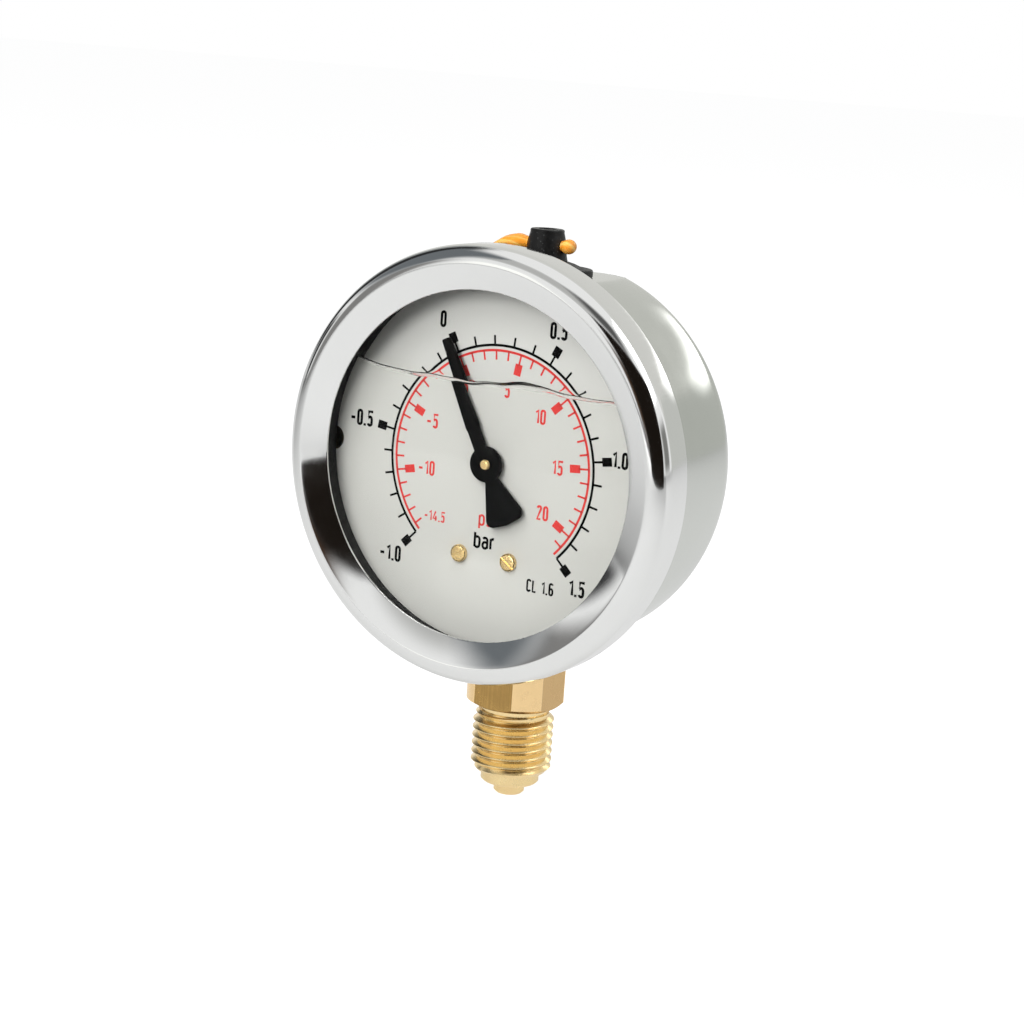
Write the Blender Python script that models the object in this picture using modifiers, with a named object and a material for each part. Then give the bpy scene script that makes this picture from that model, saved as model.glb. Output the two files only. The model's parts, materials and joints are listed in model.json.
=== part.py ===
"""Liquid-filled Bourdon-tube pressure gauge with a crimped ring, a bottom stem and a vent plug.

Lengths are in metres. The Z axis is the stem's axis and points up, Z is zero on the stem's sealing
face, and the dial faces -Y. Pieces behind the window are placed in the dial's own frame, whose
origin is on the dial axis above the stem: X to the right, Y up, and Z forward out of the dial.
"""
import math

import bmesh
import bpy
from mathutils import Matrix, Vector

MM = 0.001

# Gaps between pieces
SEAT_GAP = 0.3 * MM
STACK_GAP = 0.2 * MM
RUNNING_GAP = 0.15 * MM
OPEN_PIVOT_GAP = 0.5 * MM

# Roundness of turned pieces
LARGE_STEPS = 48
STEM_STEPS = 24
PIN_STEPS = 12
CORNER_STEPS = 4
ROUND_STEPS = 8
SHARP_ANGLE = math.radians(35.0)
MERGE_DISTANCE = 0.001 * MM

# Case
CASE_RADIUS = 31.0 * MM
CASE_WALL = 0.8 * MM
CASE_BACK = 13.0 * MM
CASE_CORNER_RADIUS = 7.0 * MM
CENTRE_HEIGHT = 54.0 * MM
CASE_INNER_RADIUS = CASE_RADIUS - CASE_WALL

# Crimped ring
RING_FRONT = 20.0 * MM
RING_OVERHANG = 3.0 * MM
RING_SHEET = 0.6 * MM
RING_ROUNDING = 3.0 * MM
RING_WIDTH = 6.9 * MM
RING_SLOPE_DROP = 1.9 * MM
RING_LIP = 2.0 * MM
RING_RADIUS = CASE_RADIUS + RING_OVERHANG
RING_INNER_RADIUS = RING_RADIUS - RING_SHEET
RING_OPENING = RING_RADIUS - RING_WIDTH

# Window, its seal and the case flange under the ring
WINDOW_THICKNESS = 2.6 * MM
SEAL_THICKNESS = 0.5 * MM
SEAL_SKIRT = 0.9 * MM
WINDOW_FRONT = RING_FRONT - RING_SLOPE_DROP - RING_SHEET - STACK_GAP
WINDOW_BACK = WINDOW_FRONT - WINDOW_THICKNESS
SEAL_FRONT = WINDOW_BACK - STACK_GAP
FLANGE_FRONT = SEAL_FRONT - SEAL_THICKNESS - STACK_GAP
FLANGE_BACK = FLANGE_FRONT - CASE_WALL
RING_LIP_FRONT = FLANGE_BACK - STACK_GAP
RING_BACK = RING_LIP_FRONT - RING_SHEET
RIM_RADIUS = RING_INNER_RADIUS - SEAT_GAP
SEAL_OUTER_RADIUS = CASE_INNER_RADIUS - STACK_GAP
SEAL_INNER_RADIUS = SEAL_OUTER_RADIUS - SEAL_SKIRT

# Dial and its screws
POINTER_ROOM = 5.0 * MM
DIAL_THICKNESS = 0.8 * MM
DIAL_EDGE_GAP = 0.6 * MM
DIAL_NOTCH_RADIUS = 1.7 * MM
DIAL_HOLE_RADIUS = 1.8 * MM
DIAL_SCREW_X = 4.5 * MM
DIAL_SCREW_DROP = 14.9 * MM
DIAL_SCREW_HEAD = 1.4 * MM
DIAL_SCREW_HEIGHT = 0.8 * MM
DIAL_SCREW_SHANK = 0.8 * MM
DIAL_SCREW_LENGTH = 3.0 * MM
DIAL_SLOT_TURN = math.radians(35.0)
DIAL_POST_RADIUS = 1.5 * MM
DIAL_FRONT = WINDOW_BACK - POINTER_ROOM
DIAL_BACK = DIAL_FRONT - DIAL_THICKNESS
DIAL_RADIUS = CASE_INNER_RADIUS - DIAL_EDGE_GAP

# Pointer, pointing at zero on the outer scale while the gauge is at rest
POINTER_REST_TURN = math.radians(27.0)
POINTER_LIFT = 1.6 * MM
POINTER_THICKNESS = 0.9 * MM
POINTER_LENGTH = 20.6 * MM
POINTER_TIP_WIDTH = 1.3 * MM
POINTER_ROOT_WIDTH = 2.4 * MM
POINTER_HUB_RADIUS = 2.8 * MM
POINTER_BOSS_RADIUS = 1.6 * MM
POINTER_BOSS_HEIGHT = 0.6 * MM
TAIL_LENGTH = 9.7 * MM
TAIL_WAIST = 2.2 * MM
TAIL_WIDTH = 6.5 * MM
TAIL_CORNER = 1.2 * MM
TAIL_BULGE = 0.8 * MM
POINTER_BACK = DIAL_FRONT + POINTER_LIFT
POINTER_FRONT = POINTER_BACK + POINTER_THICKNESS

# Movement plates
PLATE_THICKNESS = 1.0 * MM
PLATE_ROOM = 4.6 * MM
PLATE_MARGIN = 2.6 * MM
DIAL_TO_PLATE = 1.2 * MM
PILLAR_POINTS = {"upper": (5.5 * MM, 6.0 * MM), "left": (-9.0 * MM, -4.0 * MM)}
PILLAR_RADIUS = 1.5 * MM
PILLAR_STUB = 0.9 * MM
MOVEMENT_SCREW_HEAD = 1.5 * MM
MOVEMENT_SCREW_HEIGHT = 0.8 * MM
MOVEMENT_SCREW_SHANK = 0.6 * MM
MOVEMENT_SCREW_LENGTH = 3.0 * MM
FOOT_WIDTH = 4.4 * MM
FOOT_LENGTH = 20.0 * MM
FOOT_SCREW_DROPS = {"upper": 13.2 * MM, "lower": 17.8 * MM}
FRONT_PLATE_FRONT = DIAL_BACK - DIAL_TO_PLATE
FRONT_PLATE_BACK = FRONT_PLATE_FRONT - PLATE_THICKNESS
BACK_PLATE_FRONT = FRONT_PLATE_BACK - PLATE_ROOM
BACK_PLATE_BACK = BACK_PLATE_FRONT - PLATE_THICKNESS

# Pinion and segment gear
CENTRE_DISTANCE = 15.0 * MM
LINE_OF_CENTRES = math.radians(-53.13)
PINION_TEETH = 12
GEAR_RATIO = 7
PRESSURE_ANGLE = math.radians(20.0)
ADDENDUM = 0.8
DEDENDUM = 1.15
BACKLASH = 0.12 * MM
SWEEP_DOWN = math.radians(108.0)
SWEEP_UP = math.radians(162.0)
SPARE_TEETH = 1.5
GEAR_THICKNESS = 1.0 * MM
GEAR_LIFT = 2.2 * MM
PINION_OVERLAP = 0.5 * MM
RIM_DEPTH = 2.2 * MM
SEGMENT_HUB_RADIUS = 3.0 * MM
SPOKE_LEAN = math.radians(35.0)
ARBOR_RADIUS = 1.0 * MM
ARBOR_PIVOT_RADIUS = 0.6 * MM
ARBOR_TIP_RADIUS = 0.7 * MM
ARBOR_PROUD = 0.6 * MM
PINION_PITCH_RADIUS = CENTRE_DISTANCE / (1 + GEAR_RATIO)
SEGMENT_PITCH_RADIUS = CENTRE_DISTANCE - PINION_PITCH_RADIUS
GEAR_MODULE = 2 * PINION_PITCH_RADIUS / PINION_TEETH
SEGMENT_TEETH = PINION_TEETH * GEAR_RATIO
SEGMENT_X = CENTRE_DISTANCE * math.cos(LINE_OF_CENTRES)
SEGMENT_Y = CENTRE_DISTANCE * math.sin(LINE_OF_CENTRES)
GEAR_BACK = BACK_PLATE_FRONT + GEAR_LIFT
GEAR_FRONT = GEAR_BACK + GEAR_THICKNESS

# Hairspring round the pinion arbor
COLLET_RADIUS = 1.8 * MM
COLLET_LIFT = 0.4 * MM
COLLET_HEIGHT = 1.0 * MM
HAIRSPRING_TURNS = 4
HAIRSPRING_TURN_POINTS = 16
HAIRSPRING_PITCH = 0.62 * MM
HAIRSPRING_STRIP = 0.18 * MM
HAIRSPRING_WIDTH = 0.7 * MM
STUD_RADIUS = 0.6 * MM

# Link between the tube's end and the tail of the segment
TAIL_ARM = 6.0 * MM
TAIL_BAR_WIDTH = 3.4 * MM
TAIL_SLOT = 1.2 * MM
LINK_LENGTH = 7.5 * MM
LINK_EYE = 1.7 * MM
LINK_THICKNESS = 0.9 * MM
PIN_RADIUS = 0.8 * MM
PIN_HEAD_RADIUS = 1.35 * MM
PIN_HEAD_HEIGHT = 0.4 * MM
TIP_PIVOT_REACH = 19.9 * MM
TIP_RATIO = 0.0426
MID_SWEEP = (SWEEP_UP - SWEEP_DOWN) / 2
TAIL_REST_ANGLE = -MID_SWEEP / GEAR_RATIO
TIP_REST_ANGLE = -MID_SWEEP * TIP_RATIO
TIP_PIVOT_X = SEGMENT_X + TAIL_ARM - TIP_PIVOT_REACH
TIP_PIVOT_Y = SEGMENT_Y + LINK_LENGTH
LINK_BACK = GEAR_FRONT + SEAT_GAP
LINK_FRONT = LINK_BACK + LINK_THICKNESS

# Stem block inside the case
BLOCK_WIDTH = 18.0 * MM
BLOCK_DEPTH = 7.0 * MM
BLOCK_DROP = 10.5 * MM
BLOCK_BASE_HEIGHT = 6.0 * MM
BLOCK_BASE_DEPTH = 13.0 * MM
BLOCK_FRONT = BACK_PLATE_BACK - SEAT_GAP
BLOCK_BACK = BLOCK_FRONT - BLOCK_DEPTH

# Bourdon tube
TUBE_RADIUS = 22.0 * MM
TUBE_HALF_WIDTH = 3.4 * MM
TUBE_HALF_DEPTH = 1.3 * MM
TUBE_WALL = 0.4 * MM
TUBE_SECTION_POINTS = 10
TUBE_STEPS = 24
TUBE_ROOT_ANGLE = math.radians(254.0)
TUBE_END_ANGLE = math.radians(-13.0)
SLOT_SPARE_ANGLE = math.radians(3.0)
SLOT_SWEEP = math.radians(24.0)
END_CAP_WALL = 1.2 * MM
END_CAP_LENGTH = 4.5 * MM
END_SOCKET_DEPTH = 2.5 * MM
TUBE_LEVEL = BLOCK_BACK + BLOCK_DEPTH / 2

# Stem below the case
SPIGOT_RADIUS = 2.5 * MM
SPIGOT_LENGTH = 2.0 * MM
GUIDE_RADIUS = 4.75 * MM
GUIDE_LENGTH = 2.0 * MM
THREAD_RADIUS = 6.58 * MM
THREAD_DEPTH = 0.86 * MM
THREAD_PITCH = 1.337 * MM
THREAD_STEPS = 16
THREAD_FLAT = 0.16
CONNECTION_LENGTH = 13.0 * MM
UNDERCUT_LENGTH = 1.1 * MM
FLATS_ACROSS = 14.0 * MM
FLATS_CORNER = 2.2 * MM
FLATS_CHAMFER = 0.6 * MM
NECK_RADIUS = 6.5 * MM
PORT_RADIUS = 1.5 * MM
CHANNEL_RADIUS = 1.0 * MM
THREAD_ROOT_RADIUS = THREAD_RADIUS - THREAD_DEPTH
CORE_RADIUS = THREAD_ROOT_RADIUS - SEAT_GAP
THREAD_TOP = CONNECTION_LENGTH - UNDERCUT_LENGTH

# Gasket and screws that hold the stem in the case
GASKET_THICKNESS = 1.0 * MM
GASKET_WIDTH = 2.0 * MM
STEM_SCREW_MARGIN = 1.9 * MM
STEM_SCREW_HEAD = 2.2 * MM
STEM_SCREW_HEIGHT = 1.2 * MM
STEM_SCREW_SHANK = 1.1 * MM
STEM_SCREW_TO_TUBE = 1.7 * MM
STEM_SCREW_LENGTH = CASE_RADIUS - TUBE_RADIUS - TUBE_HALF_DEPTH - STEM_SCREW_TO_TUBE
STEM_SCREW_OFFSET = NECK_RADIUS + SEAT_GAP + GASKET_WIDTH + STEM_SCREW_MARGIN
STEM_SCREW_ANGLE = math.asin(STEM_SCREW_OFFSET / CASE_RADIUS)
BLOCK_BOTTOM_RADIUS = CASE_INNER_RADIUS - GASKET_THICKNESS - 2 * STACK_GAP

# Vent plug, its turret and its lever
SADDLE_RADIUS = 8.2 * MM
SADDLE_THICKNESS = 0.9 * MM
PLUG_NECK_RADIUS = 4.4 * MM
PLUG_LIP = 0.9 * MM
PLUG_LIP_HEIGHT = 1.5 * MM
TURRET_BASE_RADIUS = 3.4 * MM
TURRET_TOP_RADIUS = 2.7 * MM
TURRET_HEIGHT = 3.55 * MM
TURRET_RECESS_RADIUS = 1.4 * MM
TURRET_RECESS_DEPTH = 0.8 * MM
TURRET_SPINDLE_RADIUS = 2.0 * MM
LEVER_RADIUS = 1.15 * MM
LEVER_LIFT = 1.1 * MM
LEVER_STUB = 4.0 * MM
PADDLE_REACH = 9.5 * MM
PADDLE_WIDTH = 4.4 * MM
PADDLE_RISE = 1.1 * MM
PADDLE_BELLY = 0.6 * MM
PADDLE_DROOP = 1.3 * MM
PADDLE_TIP_RISE = -0.9 * MM
PADDLE_SHOULDER = 7.6 * MM
PADDLE_SHOULDER_RISE = 0.45 * MM
SADDLE_TOP = CASE_RADIUS + STACK_GAP + SADDLE_THICKNESS
TURRET_BOTTOM = SADDLE_TOP + STACK_GAP
LEVER_HEIGHT = TURRET_BOTTOM + LEVER_LIFT

# Slots in screw heads
SLOT_WIDTH_SHARE = 0.28
SLOT_DEPTH_SHARE = 0.45
CUT_SPARE = 1.0 * MM

FINISHES = {
    "stainless_case": ((0.62, 0.63, 0.60), 0.32, 1.0),
    "polished_ring": ((0.72, 0.72, 0.71), 0.10, 1.0),
    "clear_window": ((0.92, 0.95, 0.95), 0.03, 0.0),
    "black_rubber": ((0.015, 0.015, 0.015), 0.60, 0.0),
    "dial_white": ((0.78, 0.77, 0.75), 0.50, 0.0),
    "pointer_black": ((0.01, 0.01, 0.01), 0.45, 0.0),
    "brass": ((0.75, 0.56, 0.26), 0.28, 1.0),
    "tube_bronze": ((0.62, 0.42, 0.22), 0.30, 1.0),
    "spring_bronze": ((0.55, 0.38, 0.20), 0.30, 1.0),
    "screw_steel": ((0.55, 0.55, 0.55), 0.30, 1.0),
    "lever_orange": ((0.90, 0.33, 0.03), 0.40, 0.0),
}


def clear_scene():
    """Remove what the file holds and make the collections for parts and cutters."""
    for obj in list(bpy.data.objects):
        bpy.data.objects.remove(obj, do_unlink=True)
    for name in ("pressure_gauge", "cutters"):
        bpy.context.scene.collection.children.link(bpy.data.collections.new(name))


def finish(name):
    """Principled material for one of the named finishes."""
    material = bpy.data.materials.get(name)
    if material:
        return material
    colour, roughness, metallic = FINISHES[name]
    material = bpy.data.materials.new(name)
    material.use_nodes = True
    shader = material.node_tree.nodes["Principled BSDF"]
    shader.inputs["Base Color"].default_value = (*colour, 1.0)
    shader.inputs["Roughness"].default_value = roughness
    shader.inputs["Metallic"].default_value = metallic
    return material


def add_object(name, mesh, finish_name, parent, location=(0, 0, 0), rotation=(0, 0, 0)):
    """Put a mesh in the scene as a part, or as a cutter when it has no finish."""
    obj = bpy.data.objects.new(name, mesh)
    if finish_name:
        mesh.materials.append(finish(finish_name))
        bpy.data.collections["pressure_gauge"].objects.link(obj)
    else:
        bpy.data.collections["cutters"].objects.link(obj)
        obj.hide_render = True
        obj.display_type = "WIRE"
    obj.parent = parent
    obj.location = location
    obj.rotation_euler = rotation
    return obj


def add_empty(name, parent, location, rotation=(0, 0, 0)):
    """Empty that carries pieces on a shared axis."""
    empty = bpy.data.objects.new(name, None)
    bpy.data.collections["pressure_gauge"].objects.link(empty)
    empty.parent = parent
    empty.location = location
    empty.rotation_euler = rotation
    return empty


def shade(mesh):
    """Smooth shading with sharp edges kept."""
    mesh.shade_smooth()
    mesh.set_sharp_from_angle(angle=SHARP_ANGLE)


def turned(name, profile, finish_name, parent, steps=PIN_STEPS, closed=False, **place):
    """Solid of revolution about the local Z axis from (radius, height) points.

    An open profile starts and ends on the axis, and a closed one makes a ring. Either runs down
    its outer side from top to bottom.
    """
    bm = bmesh.new()
    points = [bm.verts.new((radius, 0.0, height)) for radius, height in profile]
    for start, end in zip(points, points[1:]):
        bm.edges.new((start, end))
    if closed:
        bm.edges.new((points[-1], points[0]))
    mesh = bpy.data.meshes.new(name)
    bm.to_mesh(mesh)
    bm.free()
    obj = add_object(name, mesh, finish_name, parent, **place)
    screw = obj.modifiers.new("turn", "SCREW")
    screw.steps = steps
    screw.render_steps = steps
    screw.use_merge_vertices = True
    screw.merge_threshold = MERGE_DISTANCE
    return obj


def stepped(sections, bottom):
    """Profile of a stepped shaft from (radius, top) sections, listed from the top down."""
    tops = [top for _, top in sections]
    profile = [(0.0, tops[0])]
    for (radius, top), low in zip(sections, tops[1:] + [bottom]):
        profile += [(radius, top), (radius, low)]
    profile.append((0.0, bottom))
    return profile


def pin(name, radius, low, high, finish_name, parent, **place):
    """Plain round pin between two heights."""
    return turned(name, stepped([(radius, high)], low), finish_name, parent, **place)


def flat(name, outlines, low, high, finish_name, parent, **place):
    """Flat piece between two heights: the first outline is its edge, and the others are its holes."""
    curve = bpy.data.curves.new(name, "CURVE")
    curve.dimensions = "2D"
    curve.fill_mode = "BOTH"
    curve.extrude = (high - low) / 2
    for outline in outlines:
        spline = curve.splines.new("POLY")
        spline.points.add(len(outline) - 1)
        for point, (x, y) in zip(spline.points, outline):
            point.co = (x, y, 0.0, 1.0)
        spline.use_cyclic_u = True
    guide = bpy.data.objects.new(name, curve)
    bpy.data.collections["cutters"].objects.link(guide)
    mesh = bpy.data.meshes.new_from_object(guide.evaluated_get(bpy.context.evaluated_depsgraph_get()))
    bpy.data.objects.remove(guide, do_unlink=True)
    bpy.data.curves.remove(curve)
    bm = bmesh.new()
    bm.from_mesh(mesh)
    bmesh.ops.remove_doubles(bm, verts=bm.verts, dist=MERGE_DISTANCE)
    bmesh.ops.recalc_face_normals(bm, faces=bm.faces)
    bmesh.ops.translate(bm, verts=bm.verts, vec=(0.0, 0.0, (low + high) / 2))
    bm.to_mesh(mesh)
    bm.free()
    return add_object(name, mesh, finish_name, parent, **place)


def block(name, low, high, finish_name, parent, **place):
    """Box between two corners."""
    bm = bmesh.new()
    size = [top - bottom for bottom, top in zip(low, high)]
    middle = [(top + bottom) / 2 for bottom, top in zip(low, high)]
    bmesh.ops.create_cube(bm, size=1.0, matrix=Matrix.Translation(middle) @ Matrix.Diagonal((*size, 1.0)))
    mesh = bpy.data.meshes.new(name)
    bm.to_mesh(mesh)
    bm.free()
    return add_object(name, mesh, finish_name, parent, **place)


def swept_oval(name, half_width, half_depth, wall, start, sweep, finish_name, parent, **place):
    """Oval section carried round the local Z axis at the tube's radius, hollow if it has a wall."""
    bm = bmesh.new()
    turn = Matrix.Rotation(start, 4, "Z")
    loops = [(half_width, half_depth)]
    if wall:
        loops.append((half_width - wall, half_depth - wall))
    edges = []
    for width, depth in loops:
        verts = []
        for index in range(TUBE_SECTION_POINTS):
            angle = 2 * math.pi * index / TUBE_SECTION_POINTS
            point = Vector((TUBE_RADIUS + depth * math.sin(angle), 0.0, width * math.cos(angle)))
            verts.append(bm.verts.new(turn @ point))
        edges += [bm.edges.new(pair) for pair in zip(verts, verts[1:] + verts[:1])]
    if wall:
        faces = bmesh.ops.bridge_loops(bm, edges=edges)["faces"]
    else:
        faces = bmesh.ops.contextual_create(bm, geom=edges)["faces"]
    bmesh.ops.spin(bm, geom=faces, axis=(0, 0, 1), cent=(0, 0, 0), angle=sweep, steps=TUBE_STEPS)
    bmesh.ops.recalc_face_normals(bm, faces=bm.faces)
    mesh = bpy.data.meshes.new(name)
    bm.to_mesh(mesh)
    bm.free()
    return add_object(name, mesh, finish_name, parent, **place)


def combine(target, tool, operation):
    """Boolean of a target with a tool: UNION, DIFFERENCE or INTERSECT."""
    modifier = target.modifiers.new(operation.lower() + "_" + tool.name, "BOOLEAN")
    modifier.operation = operation
    modifier.object = tool
    modifier.solver = "EXACT"


def bore(target, label, radius, low, high, parent, **place):
    """Round hole in a target between two heights of the parent's frame."""
    tool = pin(target.name + "_" + label, radius, low, high, None, parent, **place)
    combine(target, tool, "DIFFERENCE")


def arc(radius, start, end, steps, centre=(0.0, 0.0)):
    """Points of a circular arc, both ends included."""
    angles = [start + (end - start) * index / steps for index in range(steps + 1)]
    return [(centre[0] + radius * math.cos(a), centre[1] + radius * math.sin(a)) for a in angles]


def circle(radius, centre=(0.0, 0.0), steps=PIN_STEPS):
    """Closed outline of a round hole."""
    return arc(radius, 0.0, 2 * math.pi, steps, centre)[:-1]


def hull_of_circles(centres, radius):
    """Outline of a belt round circles whose centres are listed anticlockwise."""
    outline = []
    count = len(centres)
    for index, centre in enumerate(centres):
        before = Vector(centre) - Vector(centres[index - 1])
        after = Vector(centres[(index + 1) % count]) - Vector(centre)
        start = math.atan2(before.y, before.x) - math.pi / 2
        end = math.atan2(after.y, after.x) - math.pi / 2
        if end < start:
            end += 2 * math.pi
        outline += arc(radius, start, end, ROUND_STEPS, centre)
    return outline


def slotted_screw(name, head, shank, finish_name, parent, **place):
    """Slotted screw seated at height zero, from (radius, height) of its head and of its shank."""
    sections = [(head[0], head[1]), (shank[0], 0.0)]
    screw = turned(name, stepped(sections, -shank[1]), finish_name, parent, **place)
    half = head[0] * SLOT_WIDTH_SHARE / 2
    floor = head[1] * (1 - SLOT_DEPTH_SHARE)
    reach = head[0] + CUT_SPARE
    low = (-reach, -half, floor)
    high = (reach, half, head[1] + CUT_SPARE)
    slot = block(name + "_slot", low, high, None, parent, **place)
    combine(screw, slot, "DIFFERENCE")
    return screw


def corner_arc(inset):
    """Rounded back corner of the case at a depth under its outer skin, from the side to the back."""
    centre = (CASE_RADIUS - CASE_CORNER_RADIUS, CASE_CORNER_RADIUS - CASE_BACK)
    return arc(CASE_CORNER_RADIUS - inset, 0.0, -math.pi / 2, CORNER_STEPS, centre)


def case_shell(name, outer_inset, inner_inset, dial_axis):
    """Cutter that follows the case's side and back corner between two depths under its outer skin."""
    profile = [(CASE_RADIUS - inner_inset, FLANGE_BACK), (CASE_RADIUS - outer_inset, FLANGE_BACK)]
    profile += corner_arc(outer_inset) + corner_arc(inner_inset)[::-1]
    return turned(name, profile, None, dial_axis, steps=LARGE_STEPS, closed=True)


def make_case(dial_axis, stem_axis, vent_axis):
    """Drawn cup with a front flange and holes for the stem, its screws and the plug."""
    profile = [(0.0, CASE_WALL - CASE_BACK)] + corner_arc(CASE_WALL)[::-1]
    profile += [(CASE_INNER_RADIUS, FLANGE_FRONT), (RIM_RADIUS, FLANGE_FRONT), (RIM_RADIUS, FLANGE_BACK)]
    profile += [(CASE_RADIUS, FLANGE_BACK)] + corner_arc(0.0) + [(0.0, -CASE_BACK)]
    case = turned("case", profile, "stainless_case", dial_axis, steps=LARGE_STEPS)
    case_bottom = CENTRE_HEIGHT - CASE_RADIUS
    neck_hole = NECK_RADIUS + SEAT_GAP
    hole = stepped([(neck_hole, case_bottom + neck_hole)], case_bottom - neck_hole)
    tool = turned("case_stem_hole", hole, None, stem_axis, steps=STEM_STEPS)
    combine(case, tool, "DIFFERENCE")
    bore(case, "plug_hole", PLUG_NECK_RADIUS + STACK_GAP, CASE_INNER_RADIUS - CUT_SPARE,
         CASE_RADIUS + CUT_SPARE, vent_axis)
    for side, sign in (("left", -1), ("right", 1)):
        bore(case, side + "_screw_hole", STEM_SCREW_SHANK + SEAT_GAP, -CASE_WALL - CUT_SPARE, CUT_SPARE,
             dial_axis, **stem_screw_place(sign))
    return case


def make_ring(dial_axis):
    """Rolled ring: a rounded outer shoulder, a slope down to the opening and a lip behind the flange."""
    top = RING_FRONT - RING_ROUNDING
    crest = RING_RADIUS - RING_ROUNDING
    inner_edge = RING_FRONT - RING_SLOPE_DROP
    outer = arc(RING_ROUNDING, math.pi / 2, 0.0, CORNER_STEPS, (crest, top))
    inner = arc(RING_ROUNDING - RING_SHEET, 0.0, math.pi / 2, CORNER_STEPS, (crest, top))
    profile = [(RING_OPENING, inner_edge)] + outer
    profile += [(RING_RADIUS, RING_BACK), (RING_RADIUS - RING_LIP, RING_BACK)]
    profile += [(RING_RADIUS - RING_LIP, RING_LIP_FRONT), (RING_INNER_RADIUS, RING_LIP_FRONT)]
    profile += inner + [(RING_OPENING, inner_edge - RING_SHEET)]
    turned("crimp_ring", profile, "polished_ring", dial_axis, steps=LARGE_STEPS, closed=True)


def make_window(dial_axis):
    """Clear disc and the rubber seal with its skirt behind it."""
    turned("window", stepped([(RIM_RADIUS, WINDOW_FRONT)], WINDOW_BACK), "clear_window", dial_axis,
           steps=LARGE_STEPS)
    seal_back = SEAL_FRONT - SEAL_THICKNESS
    skirt_end = DIAL_FRONT + SEAT_GAP
    profile = [(SEAL_INNER_RADIUS, SEAL_FRONT), (RIM_RADIUS, SEAL_FRONT), (RIM_RADIUS, seal_back)]
    profile += [(SEAL_OUTER_RADIUS, seal_back), (SEAL_OUTER_RADIUS, skirt_end)]
    profile += [(SEAL_INNER_RADIUS, skirt_end)]
    turned("window_seal", profile, "black_rubber", dial_axis, steps=LARGE_STEPS, closed=True)


def dial_outline():
    """Round edge of the dial with a half-round notch on either side."""
    half = 2 * math.asin(DIAL_NOTCH_RADIUS / DIAL_RADIUS / 2)
    outline = []
    for middle in (0.0, math.pi):
        outline += arc(DIAL_RADIUS, middle + half, middle + math.pi - half, LARGE_STEPS // 2)
        centre = (-DIAL_RADIUS * math.cos(middle), -DIAL_RADIUS * math.sin(middle))
        reach = math.pi / 2 - half / 2
        outline += arc(DIAL_NOTCH_RADIUS, middle + reach, middle - reach, ROUND_STEPS, centre)[1:-1]
    return outline


def make_dial(dial_axis):
    """Dial plate, its two slotted screws and the posts that carry it on the stem block."""
    holes = [circle(DIAL_HOLE_RADIUS)]
    for sign in (-1, 1):
        holes.append(circle(DIAL_SCREW_SHANK + SEAT_GAP, (sign * DIAL_SCREW_X, -DIAL_SCREW_DROP)))
    flat("dial", [dial_outline()] + holes, DIAL_BACK, DIAL_FRONT, "dial_white", dial_axis)
    post_top = DIAL_BACK - SEAT_GAP
    for side, sign in (("left", -1), ("right", 1)):
        spot = (sign * DIAL_SCREW_X, -DIAL_SCREW_DROP, 0.0)
        seat = (spot[0], spot[1], DIAL_FRONT + SEAT_GAP)
        slotted_screw("dial_screw_" + side, (DIAL_SCREW_HEAD, DIAL_SCREW_HEIGHT),
                      (DIAL_SCREW_SHANK, DIAL_SCREW_LENGTH), "brass", dial_axis, location=seat,
                      rotation=(0, 0, -sign * DIAL_SLOT_TURN))
        post = pin("dial_post_" + side, DIAL_POST_RADIUS, BLOCK_FRONT + SEAT_GAP, post_top, "brass",
                   dial_axis, location=spot)
        bore(post, "thread", DIAL_SCREW_SHANK + RUNNING_GAP,
             DIAL_FRONT - DIAL_SCREW_LENGTH - SEAT_GAP, post_top + CUT_SPARE, dial_axis, location=spot)


def pointer_outline():
    """Needle, hub and fan-shaped counterweight, pointing along +Y."""
    root = POINTER_ROOT_WIDTH / 2
    waist = TAIL_WAIST / 2
    needle_angle = math.acos(root / POINTER_HUB_RADIUS)
    waist_angle = -math.acos(waist / POINTER_HUB_RADIUS)
    corner = (TAIL_WIDTH / 2 - TAIL_CORNER, TAIL_BULGE + TAIL_CORNER - TAIL_LENGTH)
    waist_y = POINTER_HUB_RADIUS * math.sin(waist_angle)
    side_angle = math.atan2(corner[1] - waist_y, corner[0] - waist) + math.pi / 2
    end_angle = math.atan2(TAIL_BULGE, corner[0]) - math.pi / 2
    right = [(POINTER_TIP_WIDTH / 2, POINTER_LENGTH)]
    right += arc(POINTER_HUB_RADIUS, needle_angle, waist_angle, ROUND_STEPS)
    right += arc(TAIL_CORNER, side_angle, end_angle, CORNER_STEPS, corner)
    left = [(-x, y) for x, y in reversed(right)]
    return right + [(0.0, -TAIL_LENGTH)] + left


def make_pointer(dial_axis):
    """Pointer with a boss behind its hub, pressed on the arbor."""
    turn = (0, 0, POINTER_REST_TURN)
    pointer = flat("pointer", [pointer_outline()], POINTER_BACK, POINTER_FRONT, "pointer_black", dial_axis,
                   rotation=turn)
    boss = pin("pointer_boss", POINTER_BOSS_RADIUS, POINTER_BACK - POINTER_BOSS_HEIGHT,
               POINTER_BACK + POINTER_THICKNESS / 2, None, dial_axis)
    combine(pointer, boss, "UNION")
    bore(pointer, "bore", ARBOR_TIP_RADIUS + RUNNING_GAP, POINTER_BACK - POINTER_THICKNESS - CUT_SPARE,
         POINTER_FRONT + CUT_SPARE, dial_axis)


def involute(radius, base_radius):
    """Involute angle of a flank where it crosses a radius."""
    angle = math.acos(min(1.0, base_radius / radius))
    return math.tan(angle) - angle


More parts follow.
